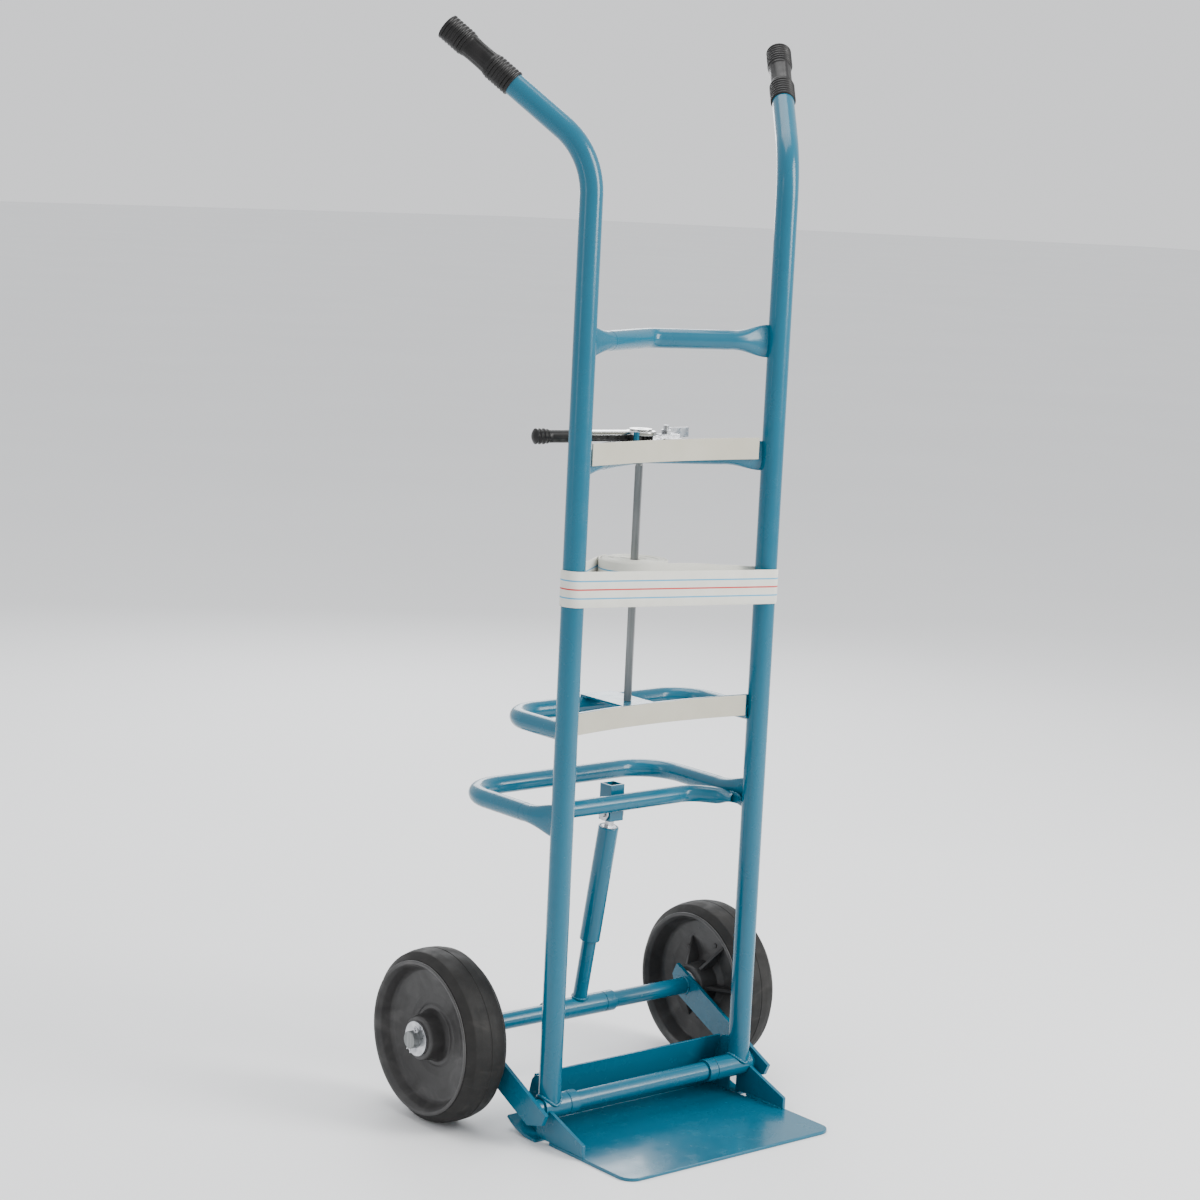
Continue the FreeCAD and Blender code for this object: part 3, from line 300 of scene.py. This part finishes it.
def webbing(name):
    """Woven polyester with three stripes; the cloth's own map is metres along, share across."""
    surface = Surface(name, 0.75, Sheen_Weight=0.15)
    axes = surface.node("ShaderNodeSeparateXYZ")
    surface.join(surface.place.outputs["UV"], axes.inputs["Vector"])
    along, across = axes.outputs["X"], axes.outputs["Y"]
    white = (0.72, 0.72, 0.655)
    blue = (0.07, 0.36, 0.60)
    red = (0.55, 0.03, 0.03)
    stops = [(0.0, white)]
    for centre, thread in ((0.255, blue), (0.5, red), (0.735, blue)):
        stops += [(centre - STRIPE_HALF, thread), (centre + STRIPE_HALF, white)]
    threads = surface.ramp(across, stops, sharp=True)
    picks = surface.math("SINE", surface.math("MULTIPLY", along, 2 * pi / WEAVE_PITCH))
    ends = surface.math("SINE", surface.math("MULTIPLY", across, 2 * pi * WEAVE_ENDS))
    weave = surface.math("MULTIPLY", picks, ends)
    raised = surface.math("MULTIPLY_ADD", weave, 0.5)
    # Painted shade: the colour is darkened in the low hollows of the weave, between the thread crossings,
    # where shade falls.
    weave_painted_shade = surface.ramp(raised, [(0.0, (0.86, 0.86, 0.86)), (0.7, (1, 1, 1))])
    soil = surface.ramp(surface.noise(34.0, 5.0), [(0.3, (0.93, 0.925, 0.91)), (0.7, (1, 1, 1))])
    surface.colour(surface.mixed(1.0, surface.mixed(1.0, threads, weave_painted_shade, "MULTIPLY"), soil, "MULTIPLY"))
    surface.bump(weave, 0.0003, 0.6)
    return surface.material


def floor_paper(name):
    surface = Surface(name, 0.9)
    tone = surface.noise(0.8, 2.0)
    surface.colour(surface.ramp(tone, [(0.3, (0.84, 0.845, 0.85)), (0.7, (0.86, 0.865, 0.87))]))
    surface.rough(surface.noise(3.0), 0.85, 0.95)
    return surface.material


def make_materials():
    return {
        "frame_paint": paint("frame_paint"),
        "carriage_paint": paint("carriage_paint"),
        "zinc": plated("zinc", (0.40, 0.41, 0.43), (0.62, 0.63, 0.65), 0.32),
        "shaft_steel": plated(
            "shaft_steel", (0.16, 0.17, 0.17), (0.30, 0.31, 0.31), 0.42, (1, 1, 0.06), 160.0
        ),
        "ratchet_black": black_steel("ratchet_black"),
        "chrome": plated("chrome", (0.46, 0.46, 0.44), (0.60, 0.60, 0.58), 0.18, scale=30.0),
        "grip_rubber": grip_vinyl("grip_rubber"),
        "tyre_rubber": tyre_rubber("tyre_rubber"),
        "wheel_plastic": wheel_plastic("wheel_plastic"),
        "pad_plastic": pad_plastic("pad_plastic"),
        "webbing": webbing("webbing"),
    }


# ---------------------------------------------------------------- mesh helpers
def piece(name, mesh, slot, body, replaced=(), sharp=radians(38)):
    """One visible piece, smooth except over sharp edges, riding on a body."""
    if isinstance(mesh, bmesh.types.BMesh):
        bmesh.ops.recalc_face_normals(mesh, faces=mesh.faces)
        data = bpy.data.meshes.new(name)
        mesh.to_mesh(data)
        mesh.free()
    else:
        data = mesh
    data.polygons.foreach_set("use_smooth", [True] * len(data.polygons))
    data.set_sharp_from_angle(angle=sharp)
    data.materials.clear()
    data.materials.append(MATERIALS[slot])
    made = bpy.data.objects.new(name, data)
    bpy.context.scene.collection.objects.link(made)
    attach(made, body)
    if replaced:
        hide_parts(*replaced)
    return made


def skin(mesh, rings, around=True, along=False, caps=True):
    """Quads between rings of points; caps close the two ends."""
    rows = [[mesh.verts.new(p) for p in ring] for ring in rings]
    pairs = list(zip(rows, rows[1:])) + ([(rows[-1], rows[0])] if along else [])
    count = len(rows[0])
    faces = []
    for low, high in pairs:
        for k in range(count if around else count - 1):
            nxt = (k + 1) % count
            faces.append(mesh.faces.new((low[k], low[nxt], high[nxt], high[k])))
    if caps and not along:
        mesh.faces.new(list(reversed(rows[0])))
        mesh.faces.new(rows[-1])
    return faces


def filleted(outline, radius, steps=4):
    """A closed outline of 2-D points with each corner rounded."""
    points = [Vector(p) for p in outline]
    rounded = []
    for before, corner, after in zip([points[-1]] + points[:-1], points, points[1:] + [points[0]]):
        reach = min(radius, 0.45 * (before - corner).length, 0.45 * (after - corner).length)
        start = corner + (before - corner).normalized() * reach
        stop = corner + (after - corner).normalized() * reach
        for k in range(steps + 1):
            t = k / steps
            rounded.append(start * (1 - t) ** 2 + corner * 2 * t * (1 - t) + stop * t * t)
    return rounded


def lathe(mesh, profile, centre, outward=1, segments=144):
    """Turn a closed (along X, radius) outline about the X axis through centre."""
    rings = []
    for k in range(segments):
        angle = 2 * pi * k / segments
        spoke = Vector((0, cos(angle), sin(angle)))
        rings.append([centre + X_AXIS * (outward * p[0]) + spoke * p[1] for p in profile])
    skin(mesh, rings, along=True)


def circle_frame(heading):
    side = heading.cross(Z_AXIS)
    side = side.normalized() if side.length > 1e-3 else X_AXIS.copy()
    return side, side.cross(heading).normalized()


def bent_path(points, radius, step=radians(3)):
    """Points along straight runs with an arc at each inner point."""
    path = [points[0]]
    for before, corner, after in zip(points, points[1:], points[2:]):
        way_in = (corner - before).normalized()
        way_out = (after - corner).normalized()
        turn = way_in.angle(way_out)
        cut = radius * sin(turn / 2) / cos(turn / 2)
        inward = (way_out - way_in).normalized()
        centre = corner + inward * (radius / cos(turn / 2))
        spoke = corner - way_in * cut - centre
        axis = way_in.cross(way_out).normalized()
        count = max(2, ceil(turn / step))
        path += [centre + Matrix.Rotation(turn * k / count, 3, axis) @ spoke for k in range(count + 1)]
    return path + [points[-1]]


def softened(node, width, angle=30):
    """The CAD piece again with small rounded edges, as pressed, sawn and painted steel has."""
    mesh = bmesh.new()
    mesh.from_mesh(frame["nodes"][node].data)
    bmesh.ops.remove_doubles(mesh, verts=mesh.verts, dist=2e-6)
    bmesh.ops.dissolve_limit(mesh, angle_limit=radians(0.6), verts=mesh.verts, edges=mesh.edges)
    data = bpy.data.meshes.new(node)
    mesh.to_mesh(data)
    mesh.free()
    made = piece(node + "_edged", data, SLOT_OF[node], BODY_OF[node], (node,), radians(50))
    bevel = made.modifiers.new("edges", "BEVEL")
    bevel.width = width
    bevel.segments = 3
    bevel.limit_method = "ANGLE"
    bevel.angle_limit = radians(angle)
    bevel.use_clamp_overlap = True
    bevel.harden_normals = True
    return made


# ---------------------------------------------------------------- frame
def make_uprights():
    """Bent tubes; the foot is coped round the pivot sleeve."""
    way = (GRIP_END - KNEE).normalized()
    for side, name in ((1, "right"), (-1, "left")):
        foot = Vector((UPRIGHT_X, 0, PIVOT_Z + COPE_HEIGHT))
        path = bent_path([foot, KNEE, GRIP_END - way * (GRIP_LENGTH - TUBE_IN_GRIP)], KNEE_RADIUS)
        mesh = bmesh.new()
        rings = []
        for k, place in enumerate(path):
            heading = (path[min(k + 1, len(path) - 1)] - path[max(k - 1, 0)]).normalized()
            across = Y_AXIS.cross(heading).normalized()
            deep = heading.cross(across).normalized()
            turns = [2 * pi * j / TUBE_SIDES for j in range(TUBE_SIDES)]
            rings.append([place + (across * cos(turn) + deep * sin(turn)) * UPRIGHT_RADIUS for turn in turns])
        coped = [p.copy() for p in rings[0]]
        for p in coped:
            p.z = PIVOT_Z + sqrt((SLEEVE_RADIUS - 0.3 * MM) ** 2 - p.y ** 2)
        rings = [coped] + rings
        rings = [[Vector((p.x * side, p.y, p.z)) for p in ring] for ring in rings]
        skin(mesh, rings)
        piece(name + "_upright_tube", mesh, "frame_paint", "frame", (name + "_upright",))


def grip_radius(along, angle):
    """A moulded grip: seven rounded ribs at each end and four sunk panels between them."""
    band, ribs = 38 * MM, 7
    pitch = band / ribs
    core = GRIP_RADIUS - 1.7 * MM
    for start in (0.0, GRIP_LENGTH - band):
        if start <= along <= start + band:
            return core + 1.7 * MM * sin(pi * ((along - start) / pitch % 1.0)) ** 0.6
    t = (along - band) / (GRIP_LENGTH - 2 * band)
    across = abs(((angle + pi / 4) % (pi / 2)) - pi / 4) / (pi / 4)
    inside = min(1.0, max(0.0, (0.80 - across) / 0.12))
    inside *= min(1.0, max(0.0, (0.5 - abs(t - 0.5) - 0.07) / 0.05))
    waist = 0.9 * MM * sin(pi * t)
    return core + 0.6 * MM - waist - 0.9 * MM * inside


def make_grips():
    way = (GRIP_END - KNEE).normalized()
    start = GRIP_END - way * GRIP_LENGTH
    side, up = circle_frame(way)
    spin = radians(20)
    for sign, name in ((1, "right"), (-1, "left")):
        rings = []
        stations = [(0.0, 0.86), (0.3 * MM, 0.97)]
        stations += [(k * 0.5 * MM, 1.0) for k in range(2, int(GRIP_LENGTH / (0.5 * MM)) - 3)]
        stations += [(GRIP_LENGTH - 1.6 * MM, 1.0), (GRIP_LENGTH - 0.6 * MM, 0.95), (GRIP_LENGTH, 0.82)]
        for along, share in stations:
            ring = []
            for j in range(72):
                angle = 2 * pi * j / 72
                spoke = side * cos(angle + spin) + up * sin(angle + spin)
                ring.append(start + way * along + spoke * grip_radius(along, angle) * share)
            rings.append([Vector((p.x * sign, p.y, p.z)) for p in ring])
        mesh = bmesh.new()
        skin(mesh, rings)
        piece(name + "_grip_moulded", mesh, "grip_rubber", "frame", (name + "_grip",), radians(60))


PLATES = {
    "toe_plate": 1.2, "heel_plate": 0.8, "heel_end_plates": 0.8, "left_gusset": 0.9, "right_gusset": 0.9,
    "left_rocker_shoe": 0.9, "right_rocker_shoe": 0.9, "left_arm": 1.0, "right_arm": 1.0,
    "left_pivot_sleeve": 0.8, "right_pivot_sleeve": 0.8, "pivot_collars": 0.8, "axle_collars": 0.8,
    "strut_sleeve": 0.8, "strut_tube": 1.6, "strut_socket": 0.6, "bearing_plate": 0.6, "winder_bracket": 0.6,
    "upper_pad": 0.7, "lower_pad": 0.7, "lower_crossbar": 0.8, "axle_washers": 0.5,
    "release_tab": 0.5, "holding_pawl": 0.5, "lever_bar": 1.0, "lever_shell": 1.6, "hub_cap": 0.6,
    "pawl_nut": 0.6, "winder_shaft": 0.5, "strut_pin": 0.6, "strut_pin_washers": 0.3,
}


def make_plates():
    for node, width in PLATES.items():
        softened(node, width * MM)


# ---------------------------------------------------------------- wheels
RIM_PROFILE = [
    (38.5, 17), (38.5, 24), (37.6, 24.6), (37.6, 30), (34.5, 32), (15, 34.5), (9, 38), (9, 43), (7.4, 46),
    (6.2, 60), (8.5, 80), (12, 94), (17, 97.5), (30, 101.6), (36.4, 105.5), (37, 107.5), (37, 110.3),
    (34.5, 110.9), (32.5, 104), (-32.5, 104), (-34.5, 110.9), (-37, 110.3), (-37, 107.5), (-36.2, 105.5),
    (-30, 101.6), (-9, 96.5), (-5, 93.5), (-1.5, 78), (-1, 60), (-1, 42), (-8, 33), (-36.5, 30.5),
    (-38.5, 28), (-38.5, 17),
]
TYRE_PROFILE = [
    (34.3, 111.2), (24.8, 121.3), (22.5, 122.0), (13.0, 124.1), (1.2, 124.9), (0.6, 124.2),
    (-0.6, 124.2), (-1.2, 124.9), (-13.0, 124.1), (-22.5, 122.0), (-24.8, 121.3), (-34.3, 111.2),
    (-32.5, 104.5), (32.5, 104.5),
]


def metres(profile):
    return [(a * MM, r * MM) for a, r in profile]


def wheel_rib(mesh, centre, outward, angle):
    """One triangular web from the hub to the disc, on the inboard side."""
    turn = Matrix.Rotation(angle, 3, "X")
    outline = filleted([(-0.5 * MM, 74 * MM), (-31 * MM, 30 * MM), (-0.5 * MM, 30 * MM)], 2 * MM, 3)
    rings = []
    for y, shrink in ((-2.6, 0.97), (-2.0, 1.0), (2.0, 1.0), (2.6, 0.97)):
        rings.append([
            centre + turn @ Vector((outward * p[0] * shrink, y * MM, 30 * MM + (p[1] - 30 * MM) * shrink))
            for p in outline
        ])
    skin(mesh, rings)


def low_dome(mesh, place, out, radius, height, segments=16):
    """A small raised round mark on a surface that faces out."""
    side = out.orthogonal().normalized()
    other = out.cross(side)
    rings = []
    for share, rise in ((1.0, -0.2), (1.0, 0.5), (0.8, 0.9), (0.3, 1.0)):
        rings.append([
            place + (side * cos(2 * pi * k / segments) + other * sin(2 * pi * k / segments)) * radius * share
            + out * height * rise
            for k in range(segments)
        ])
    skin(mesh, rings)


def make_wheels():
    for outward, name in ((1, "right"), (-1, "left")):
        centre = middle(name + "_rim")
        body = name + "_wheel"
        mesh = bmesh.new()
        lathe(mesh, filleted(metres(RIM_PROFILE), 1.6 * MM, 3), centre, outward)
        for k in range(6):
            wheel_rib(mesh, centre, outward, radians(30 + 60 * k))
        for k in range(12):
            angle = radians(15 + 30 * k)
            radius = (62 if k % 2 else 84) * MM
            spoke = Vector((0, cos(angle), sin(angle)))
            place = centre + spoke * radius - X_AXIS * outward * 1.3 * MM
            low_dome(mesh, place, -X_AXIS * outward, 4 * MM, 1.4 * MM)
        piece(name + "_rim_moulded", mesh, "wheel_plastic", body, (name + "_rim",))
        mesh = bmesh.new()
        lathe(mesh, filleted(metres(TYRE_PROFILE), 0.3 * MM, 2), centre, outward, 168)
        piece(name + "_tyre_moulded", mesh, "tyre_rubber", body, (name + "_tyre",), radians(12))


def make_axle():
    """One bar, painted with the carriage between the arms and bare outside them."""
    low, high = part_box("axle_shaft")
    arm_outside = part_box("right_arm")[1].x - 1 * MM
    left_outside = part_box("left_arm")[0].x + 1 * MM
    centre = middle("axle_shaft")
    radius = (high.z - low.z) / 2
    mesh = bmesh.new()
    core = 0.1 * MM
    line = Vector((0, centre.y, centre.z))
    outline = [(left_outside, core), (left_outside, radius), (arm_outside, radius), (arm_outside, core)]
    lathe(mesh, outline, line, 1, 48)
    piece("axle_painted", mesh, "carriage_paint", "carriage", ("axle_shaft",))
    mesh = bmesh.new()
    for start, stop in ((arm_outside, high.x), (left_outside, low.x)):
        tip = 1.2 * MM if stop > start else -1.2 * MM
        chamfer = [(stop - tip, radius), (stop, radius - abs(tip))]
        outline = [(start, core), (start, radius)] + chamfer + [(stop, core)]
        lathe(mesh, outline, line, 1, 48)
    piece("axle_ends", mesh, "shaft_steel", "carriage")


# ---------------------------------------------------------------- webbing
def belt(wraps, first_angle, last_angle, step=radians(4)):
    """Points along a band led round circles: (centre, radius, 1 to turn left or -1 to turn right)."""
    headings = []
    for (here, near, turn), (there, far, next_turn) in zip(wraps, wraps[1:]):
        run = there - here
        headings.append(atan2(run.y, run.x) - asin((next_turn * far - turn * near) / run.length))
    path = []
    for number, (centre, radius, turn) in enumerate(wraps):
        quarter = turn * pi / 2
        begin = headings[number - 1] - quarter if number else first_angle
        end = headings[number] - quarter if number < len(headings) else last_angle
        sweep = (turn * (end - begin)) % (2 * pi)
        count = max(3, ceil(sweep / step))
        for k in range(count + 1):
            angle = begin + turn * sweep * k / count
            path.append(centre + Vector((cos(angle), sin(angle))) * radius)
    return path


def band(name, path, levels, thick, body, replaced):
    """Webbing along a path in plan, its middle at the given levels, with rounded woven edges."""
    half = STRAP_WIDTH / 2
    section = [
        (-1, -0.28), (-0.975, -0.5), (-0.5, -0.5), (0, -0.5), (0.5, -0.5), (0.975, -0.5), (1, -0.28),
        (1, 0.28), (0.975, 0.5), (0.5, 0.5), (0, 0.5), (-0.5, 0.5), (-0.975, 0.5), (-1, 0.28),
    ]
    mesh = bmesh.new()
    uv = mesh.loops.layers.uv.new("cloth")
    rows, lengths, run = [], [], 0.0
    for k, place in enumerate(path):
        heading = path[min(k + 1, len(path) - 1)] - path[max(k - 1, 0)]
        side = Vector((-heading.y, heading.x)).normalized()
        if k:
            run += (place - path[k - 1]).length
        lengths.append(run)
        rows.append([
            mesh.verts.new((place.x + side.x * thick * t, place.y + side.y * thick * t, levels[k] + half * w))
            for w, t in section
        ])
    count = len(section)
    for k, (low, high) in enumerate(zip(rows, rows[1:])):
        for j in range(count):
            n = (j + 1) % count
            face = mesh.faces.new((low[j], low[n], high[n], high[j]))
            marks = [(lengths[k], j), (lengths[k], n), (lengths[k + 1], n), (lengths[k + 1], j)]
            for loop, (along, spot) in zip(face.loops, marks):
                loop[uv].uv = (along, section[spot][0] / 2 + 0.5)
    mesh.faces.new(list(reversed(rows[0])))
    mesh.faces.new(rows[-1])
    return piece(name, mesh, "webbing", body, replaced, radians(50)), run


def make_strap():
    """The band round both uprights, a little slanted, and the wound roll on the shaft."""
    level = middle("strap").z
    round_upright = UPRIGHT_RADIUS + STRAP_THICK / 2 + 0.2 * MM
    round_roll = ROLL_RADIUS + 2.0 * MM
    roll_centre = Vector((0, SHAFT_Y))
    wraps = [
        (roll_centre, round_roll + 2.7 * MM, 1), (Vector((-UPRIGHT_X, 0)), round_upright, 1),
        (Vector((UPRIGHT_X, 0)), round_upright, 1), (roll_centre, round_roll, -1),
    ]
    corners = belt(wraps, radians(100), radians(112))
    path = []
    for start, stop in zip(corners, corners[1:]):
        count = max(1, ceil((stop - start).length / (12 * MM)))
        path += [start.lerp(stop, k / count) for k in range(count)]
    path.append(corners[-1])
    levels = []
    for place in path:
        slant = -place.x / UPRIGHT_X * 8.5 * MM
        if place.y > 20 * MM:
            slant *= min(1.0, abs(place.x) / UPRIGHT_X)
        away = (place - roll_centre).length
        on_roll = min(1.0, max(0.0, (0.12 - away) / 0.06)) if place.y > 5 * MM else 0.0
        levels.append(level + (slant - 2.5 * MM) * (1 - on_roll))
    strap, length = band("strap_webbing", path, levels, STRAP_THICK, "frame", ("strap",))

    rng = random.Random(4)
    pitch, inner = 1.9 * MM, 8.0 * MM
    turns = (ROLL_RADIUS - inner) / pitch
    count = int(turns * 60)
    lean = [rng.uniform(-0.7, 0.7) * MM for _ in range(int(turns) + 3)]
    path, levels = [], []
    for k in range(count + 1):
        turn = k / 60
        radius = inner + pitch * turn - 0.5 * MM
        angle = radians(100) - 2 * pi * (turns - turn)
        path.append(roll_centre + Vector((cos(angle), sin(angle))) * radius)
        share = turn - int(turn)
        levels.append(level + lean[int(turn)] * (1 - share) + lean[int(turn) + 1] * share)
    roll, length = band("strap_roll_webbing", path, levels, 1.7 * MM, "spool", ("strap_roll",))


# ---------------------------------------------------------------- winder head
def make_lever_grip():
    """Rubber sleeve with long hollows, and a ribbed bulb at its end."""
    way = Vector((cos(LEVER_ANGLE), sin(LEVER_ANGLE), 0))
    low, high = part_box("lever_grip")
    start = Vector((0, SHAFT_Y, (low.z + high.z) / 2)) + way * 106 * MM
    side, up = circle_frame(way)
    length, bulb = 62 * MM, 24 * MM
    rings = []
    for k in range(int(length / (0.5 * MM)) + 1):
        along = k * 0.5 * MM
        ring = []
        for j in range(48):
            angle = 2 * pi * j / 48
            radius = 9.2 * MM
            if along > length - bulb:
                t = (along - (length - bulb)) / bulb
                ridges = 0.75 * MM * sin(8 * pi * t)
                radius = 9.2 * MM + 1.4 * MM * min(1.0, t * 5) + ridges
                radius *= sqrt(max(0.05, 1 - max(0.0, (t - 0.8) / 0.2) ** 2 * 0.9))
            else:
                hollow = max(0.0, cos(2 * angle)) ** 2
                fade = min(1.0, along / (6 * MM), (length - bulb - along) / (5 * MM) + 0.1)
                radius -= 1.1 * MM * hollow * fade
            ring.append(start + way * along + (side * cos(angle) + up * sin(angle)) * radius)
        rings.append(ring)
    mesh = bmesh.new()
    skin(mesh, rings)
    piece("lever_grip_moulded", mesh, "grip_rubber", "lever", ("lever_grip",), radians(60))


# ---------------------------------------------------------------- welds
def bead(mesh, points, radius, closed=False, seed=1):
    """A run of weld: overlapping rounded ripples along a line."""
    rng = random.Random(seed)
    run = list(points) + ([points[0]] if closed else [])
    places = []
    for start, stop in zip(run, run[1:]):
        count = max(1, round((stop - start).length / (0.9 * MM)))
        places += [start.lerp(stop, k / count) for k in range(count)]
    if not closed:
        places.append(run[-1])
    swell = 1.0
    radii = []
    for k in range(len(places)):
        if k % 4 == 0:
            swell = rng.uniform(0.85, 1.15)
        ends = 1.0 if closed else min(1.0, 0.45 + 0.3 * min(k, len(places) - 1 - k))
        radii.append(radius * swell * (0.84 + 0.16 * abs(sin(pi * k / 4))) * ends)
    rings = []
    for k, place in enumerate(places):
        before = places[k - 1] if closed or k else place
        after = places[(k + 1) % len(places)] if closed or k < len(places) - 1 else place
        side, up = circle_frame((after - before).normalized())
        rings.append([place + (side * cos(pi * j / 4) + up * sin(pi * j / 4)) * radii[k] for j in range(8)])
    skin(mesh, rings, along=closed)


def circle(centre, axis, radius, count=40):
    side = axis.orthogonal().normalized()
    other = axis.cross(side)
    turns = [2 * pi * k / count for k in range(count)]
    return [centre + (side * cos(turn) + other * sin(turn)) * radius for turn in turns]


def saddle(x, radius, around, axis_z, count=48):
    """The line where an upright bar of that radius meets a level tube along X."""
    points = []
    for k in range(count):
        angle = 2 * pi * k / count
        y = radius * sin(angle)
        points.append(Vector((x + radius * cos(angle), y, axis_z + sqrt(max(around ** 2 - y ** 2, 0.0)))))
    return points


def oval(centre, wide, tall, count):
    """Points round an oval that faces along X."""
    turns = [2 * pi * k / count for k in range(count)]
    return [centre + Vector((0, wide * cos(turn), tall * sin(turn))) for turn in turns]


def run(mesh, start, stop, radius, seed):
    """One straight weld."""
    bead(mesh, [Vector(start), Vector(stop)], radius, seed=seed)


def foot_welds(mesh, side):
    """Upright on its sleeve and gusset on the toe plate."""
    toe_low, toe_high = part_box("toe_plate")
    top = toe_high.z
    name = "right" if side > 0 else "left"
    around = SLEEVE_RADIUS + 0.6 * MM
    bead(mesh, saddle(side * UPRIGHT_X, UPRIGHT_RADIUS + 0.6 * MM, around, PIVOT_Z), 2.6 * MM, True)
    low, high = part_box(name + "_gusset")
    for x in (low.x, high.x):
        if abs(x) < abs(toe_low.x) - 1 * MM:
            run(mesh, (x, low.y + 2 * MM, top), (x, -14 * MM, top), 2.2 * MM, 3)
    run(mesh, (low.x + 1 * MM, low.y, top), (high.x - 1 * MM, low.y, top), 1.8 * MM, 5)


def bar_welds(mesh, side):
    """The flared ends of the two crossbars and the flat bar's ends."""
    for node in ("top_crossbar", "winder_crossbar"):
        low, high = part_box(node)
        tall = (high.z - low.z) / 2 - 1 * MM
        centre = Vector((side * (UPRIGHT_X - 13 * MM), 9.5 * MM, (low.z + high.z) / 2))
        bead(mesh, oval(centre, 6.0 * MM, tall, 32), 1.5 * MM, True, 7)
    low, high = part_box("lower_crossbar")
    x = side * (UPRIGHT_X - 14.2 * MM)
    run(mesh, (x, 10 * MM, low.z + 1 * MM), (x, 10 * MM, high.z - 1 * MM), 1.7 * MM, 9)


def sleeve_welds(mesh, side):
    low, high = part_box("right_pivot_sleeve" if side > 0 else "left_pivot_sleeve")
    inner_end = low.x if side > 0 else high.x
    under = PIVOT_Z - SLEEVE_RADIUS
    run(mesh, (inner_end + side * 3 * MM, 0, under), (side * 180 * MM, 0, under), 1.8 * MM, 11)
    x = side * 175.5 * MM
    run(mesh, (x, 56 * MM, 8 * MM), (x, 38 * MM, 82 * MM), 1.6 * MM, 13)


def make_welds():
    mesh = bmesh.new()
    for side in (-1, 1):
        foot_welds(mesh, side)
        bar_welds(mesh, side)
        sleeve_welds(mesh, side)
    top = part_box("toe_plate")[1].z
    run(mesh, (-150 * MM, 54.5 * MM, top), (150 * MM, 54.5 * MM, top), 1.0 * MM, 17)
    piece("frame_welds", mesh, "frame_paint", "frame", sharp=radians(70))

    mesh = bmesh.new()
    brace_z = middle("lower_loop_brace").z
    socket_low, socket_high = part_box("strut_socket")
    front = socket_low.y - 0.5 * MM
    for side in (-1, 1):
        x = side * (socket_high.x + 0.2 * MM)
        run(mesh, (x, front, brace_z - 9 * MM), (x, front, brace_z + 9 * MM), 1.6 * MM, 19)
        points = oval(Vector((side * 168 * MM, 31 * MM, brace_z)), 17 * MM, 6.5 * MM, 28)
        bead(mesh, points, 2.2 * MM, True, 21)
        skin(mesh, [[p + X_AXIS * side * shift for p in points] for shift in (-4 * MM, 0.5 * MM)])
    plate_low, plate_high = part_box("bearing_plate")
    for side in (-1, 1):
        x = side * plate_high.x
        run(mesh, (x, 140 * MM, plate_low.z), (x, 153 * MM, plate_low.z - 1 * MM), 1.5 * MM, 23)
    piece("loop_welds", mesh, "frame_paint", "frame", sharp=radians(70))

    mesh = bmesh.new()
    axle = middle("axle_shaft")
    for x in (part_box("right_arm")[0].x - 0.3 * MM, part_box("left_arm")[1].x + 0.3 * MM):
        bead(mesh, circle(Vector((x, axle.y, axle.z)), X_AXIS, 13.3 * MM), 1.9 * MM, True, 27)
    piece("carriage_welds", mesh, "carriage_paint", "carriage", sharp=radians(70))

    mesh = bmesh.new()
    sleeve = middle("strut_sleeve")
    way = (Vector((sleeve.x, 108 * MM, 431 * MM)) - sleeve).normalized()
    bead(mesh, circle(sleeve + way * 16.2 * MM, way, 11.3 * MM), 1.9 * MM, True, 31)
    piece("strut_welds", mesh, "carriage_paint", BODY_OF["strut_rod"], sharp=radians(70))


def make_spatter():
    """Small drops of weld metal under the paint of the toe plate."""
    rng = random.Random(12)
    mesh = bmesh.new()
    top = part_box("toe_plate")[1].z
    for _ in range(10):
        place = Vector((rng.uniform(0.0, 0.16), rng.uniform(-0.12, -0.03), top))
        low_dome(mesh, place, Z_AXIS, rng.uniform(0.4, 0.9) * MM, rng.uniform(0.3, 0.5) * MM, 10)
    piece("toe_spatter", mesh, "frame_paint", "frame", sharp=radians(70))


# ---------------------------------------------------------------- floor
def make_floor():
    mesh = bmesh.new()
    bmesh.ops.create_grid(mesh, x_segments=12, y_segments=12, size=FLOOR_HALF)
    data = bpy.data.meshes.new("floor")
    mesh.to_mesh(data)
    mesh.free()
    data.materials.append(floor_paper("floor_paper"))
    floor = bpy.data.objects.new("floor", data)
    bpy.context.scene.collection.objects.link(floor)


make_camera()
make_studio()
MATERIALS = make_materials()
for node, made in frame["nodes"].items():
    made.data.materials.clear()
    made.data.materials.append(MATERIALS[SLOT_OF[node]])
make_floor()
make_uprights()
make_grips()
make_plates()
make_wheels()
make_axle()
make_strap()
make_lever_grip()
make_welds()
make_spatter()
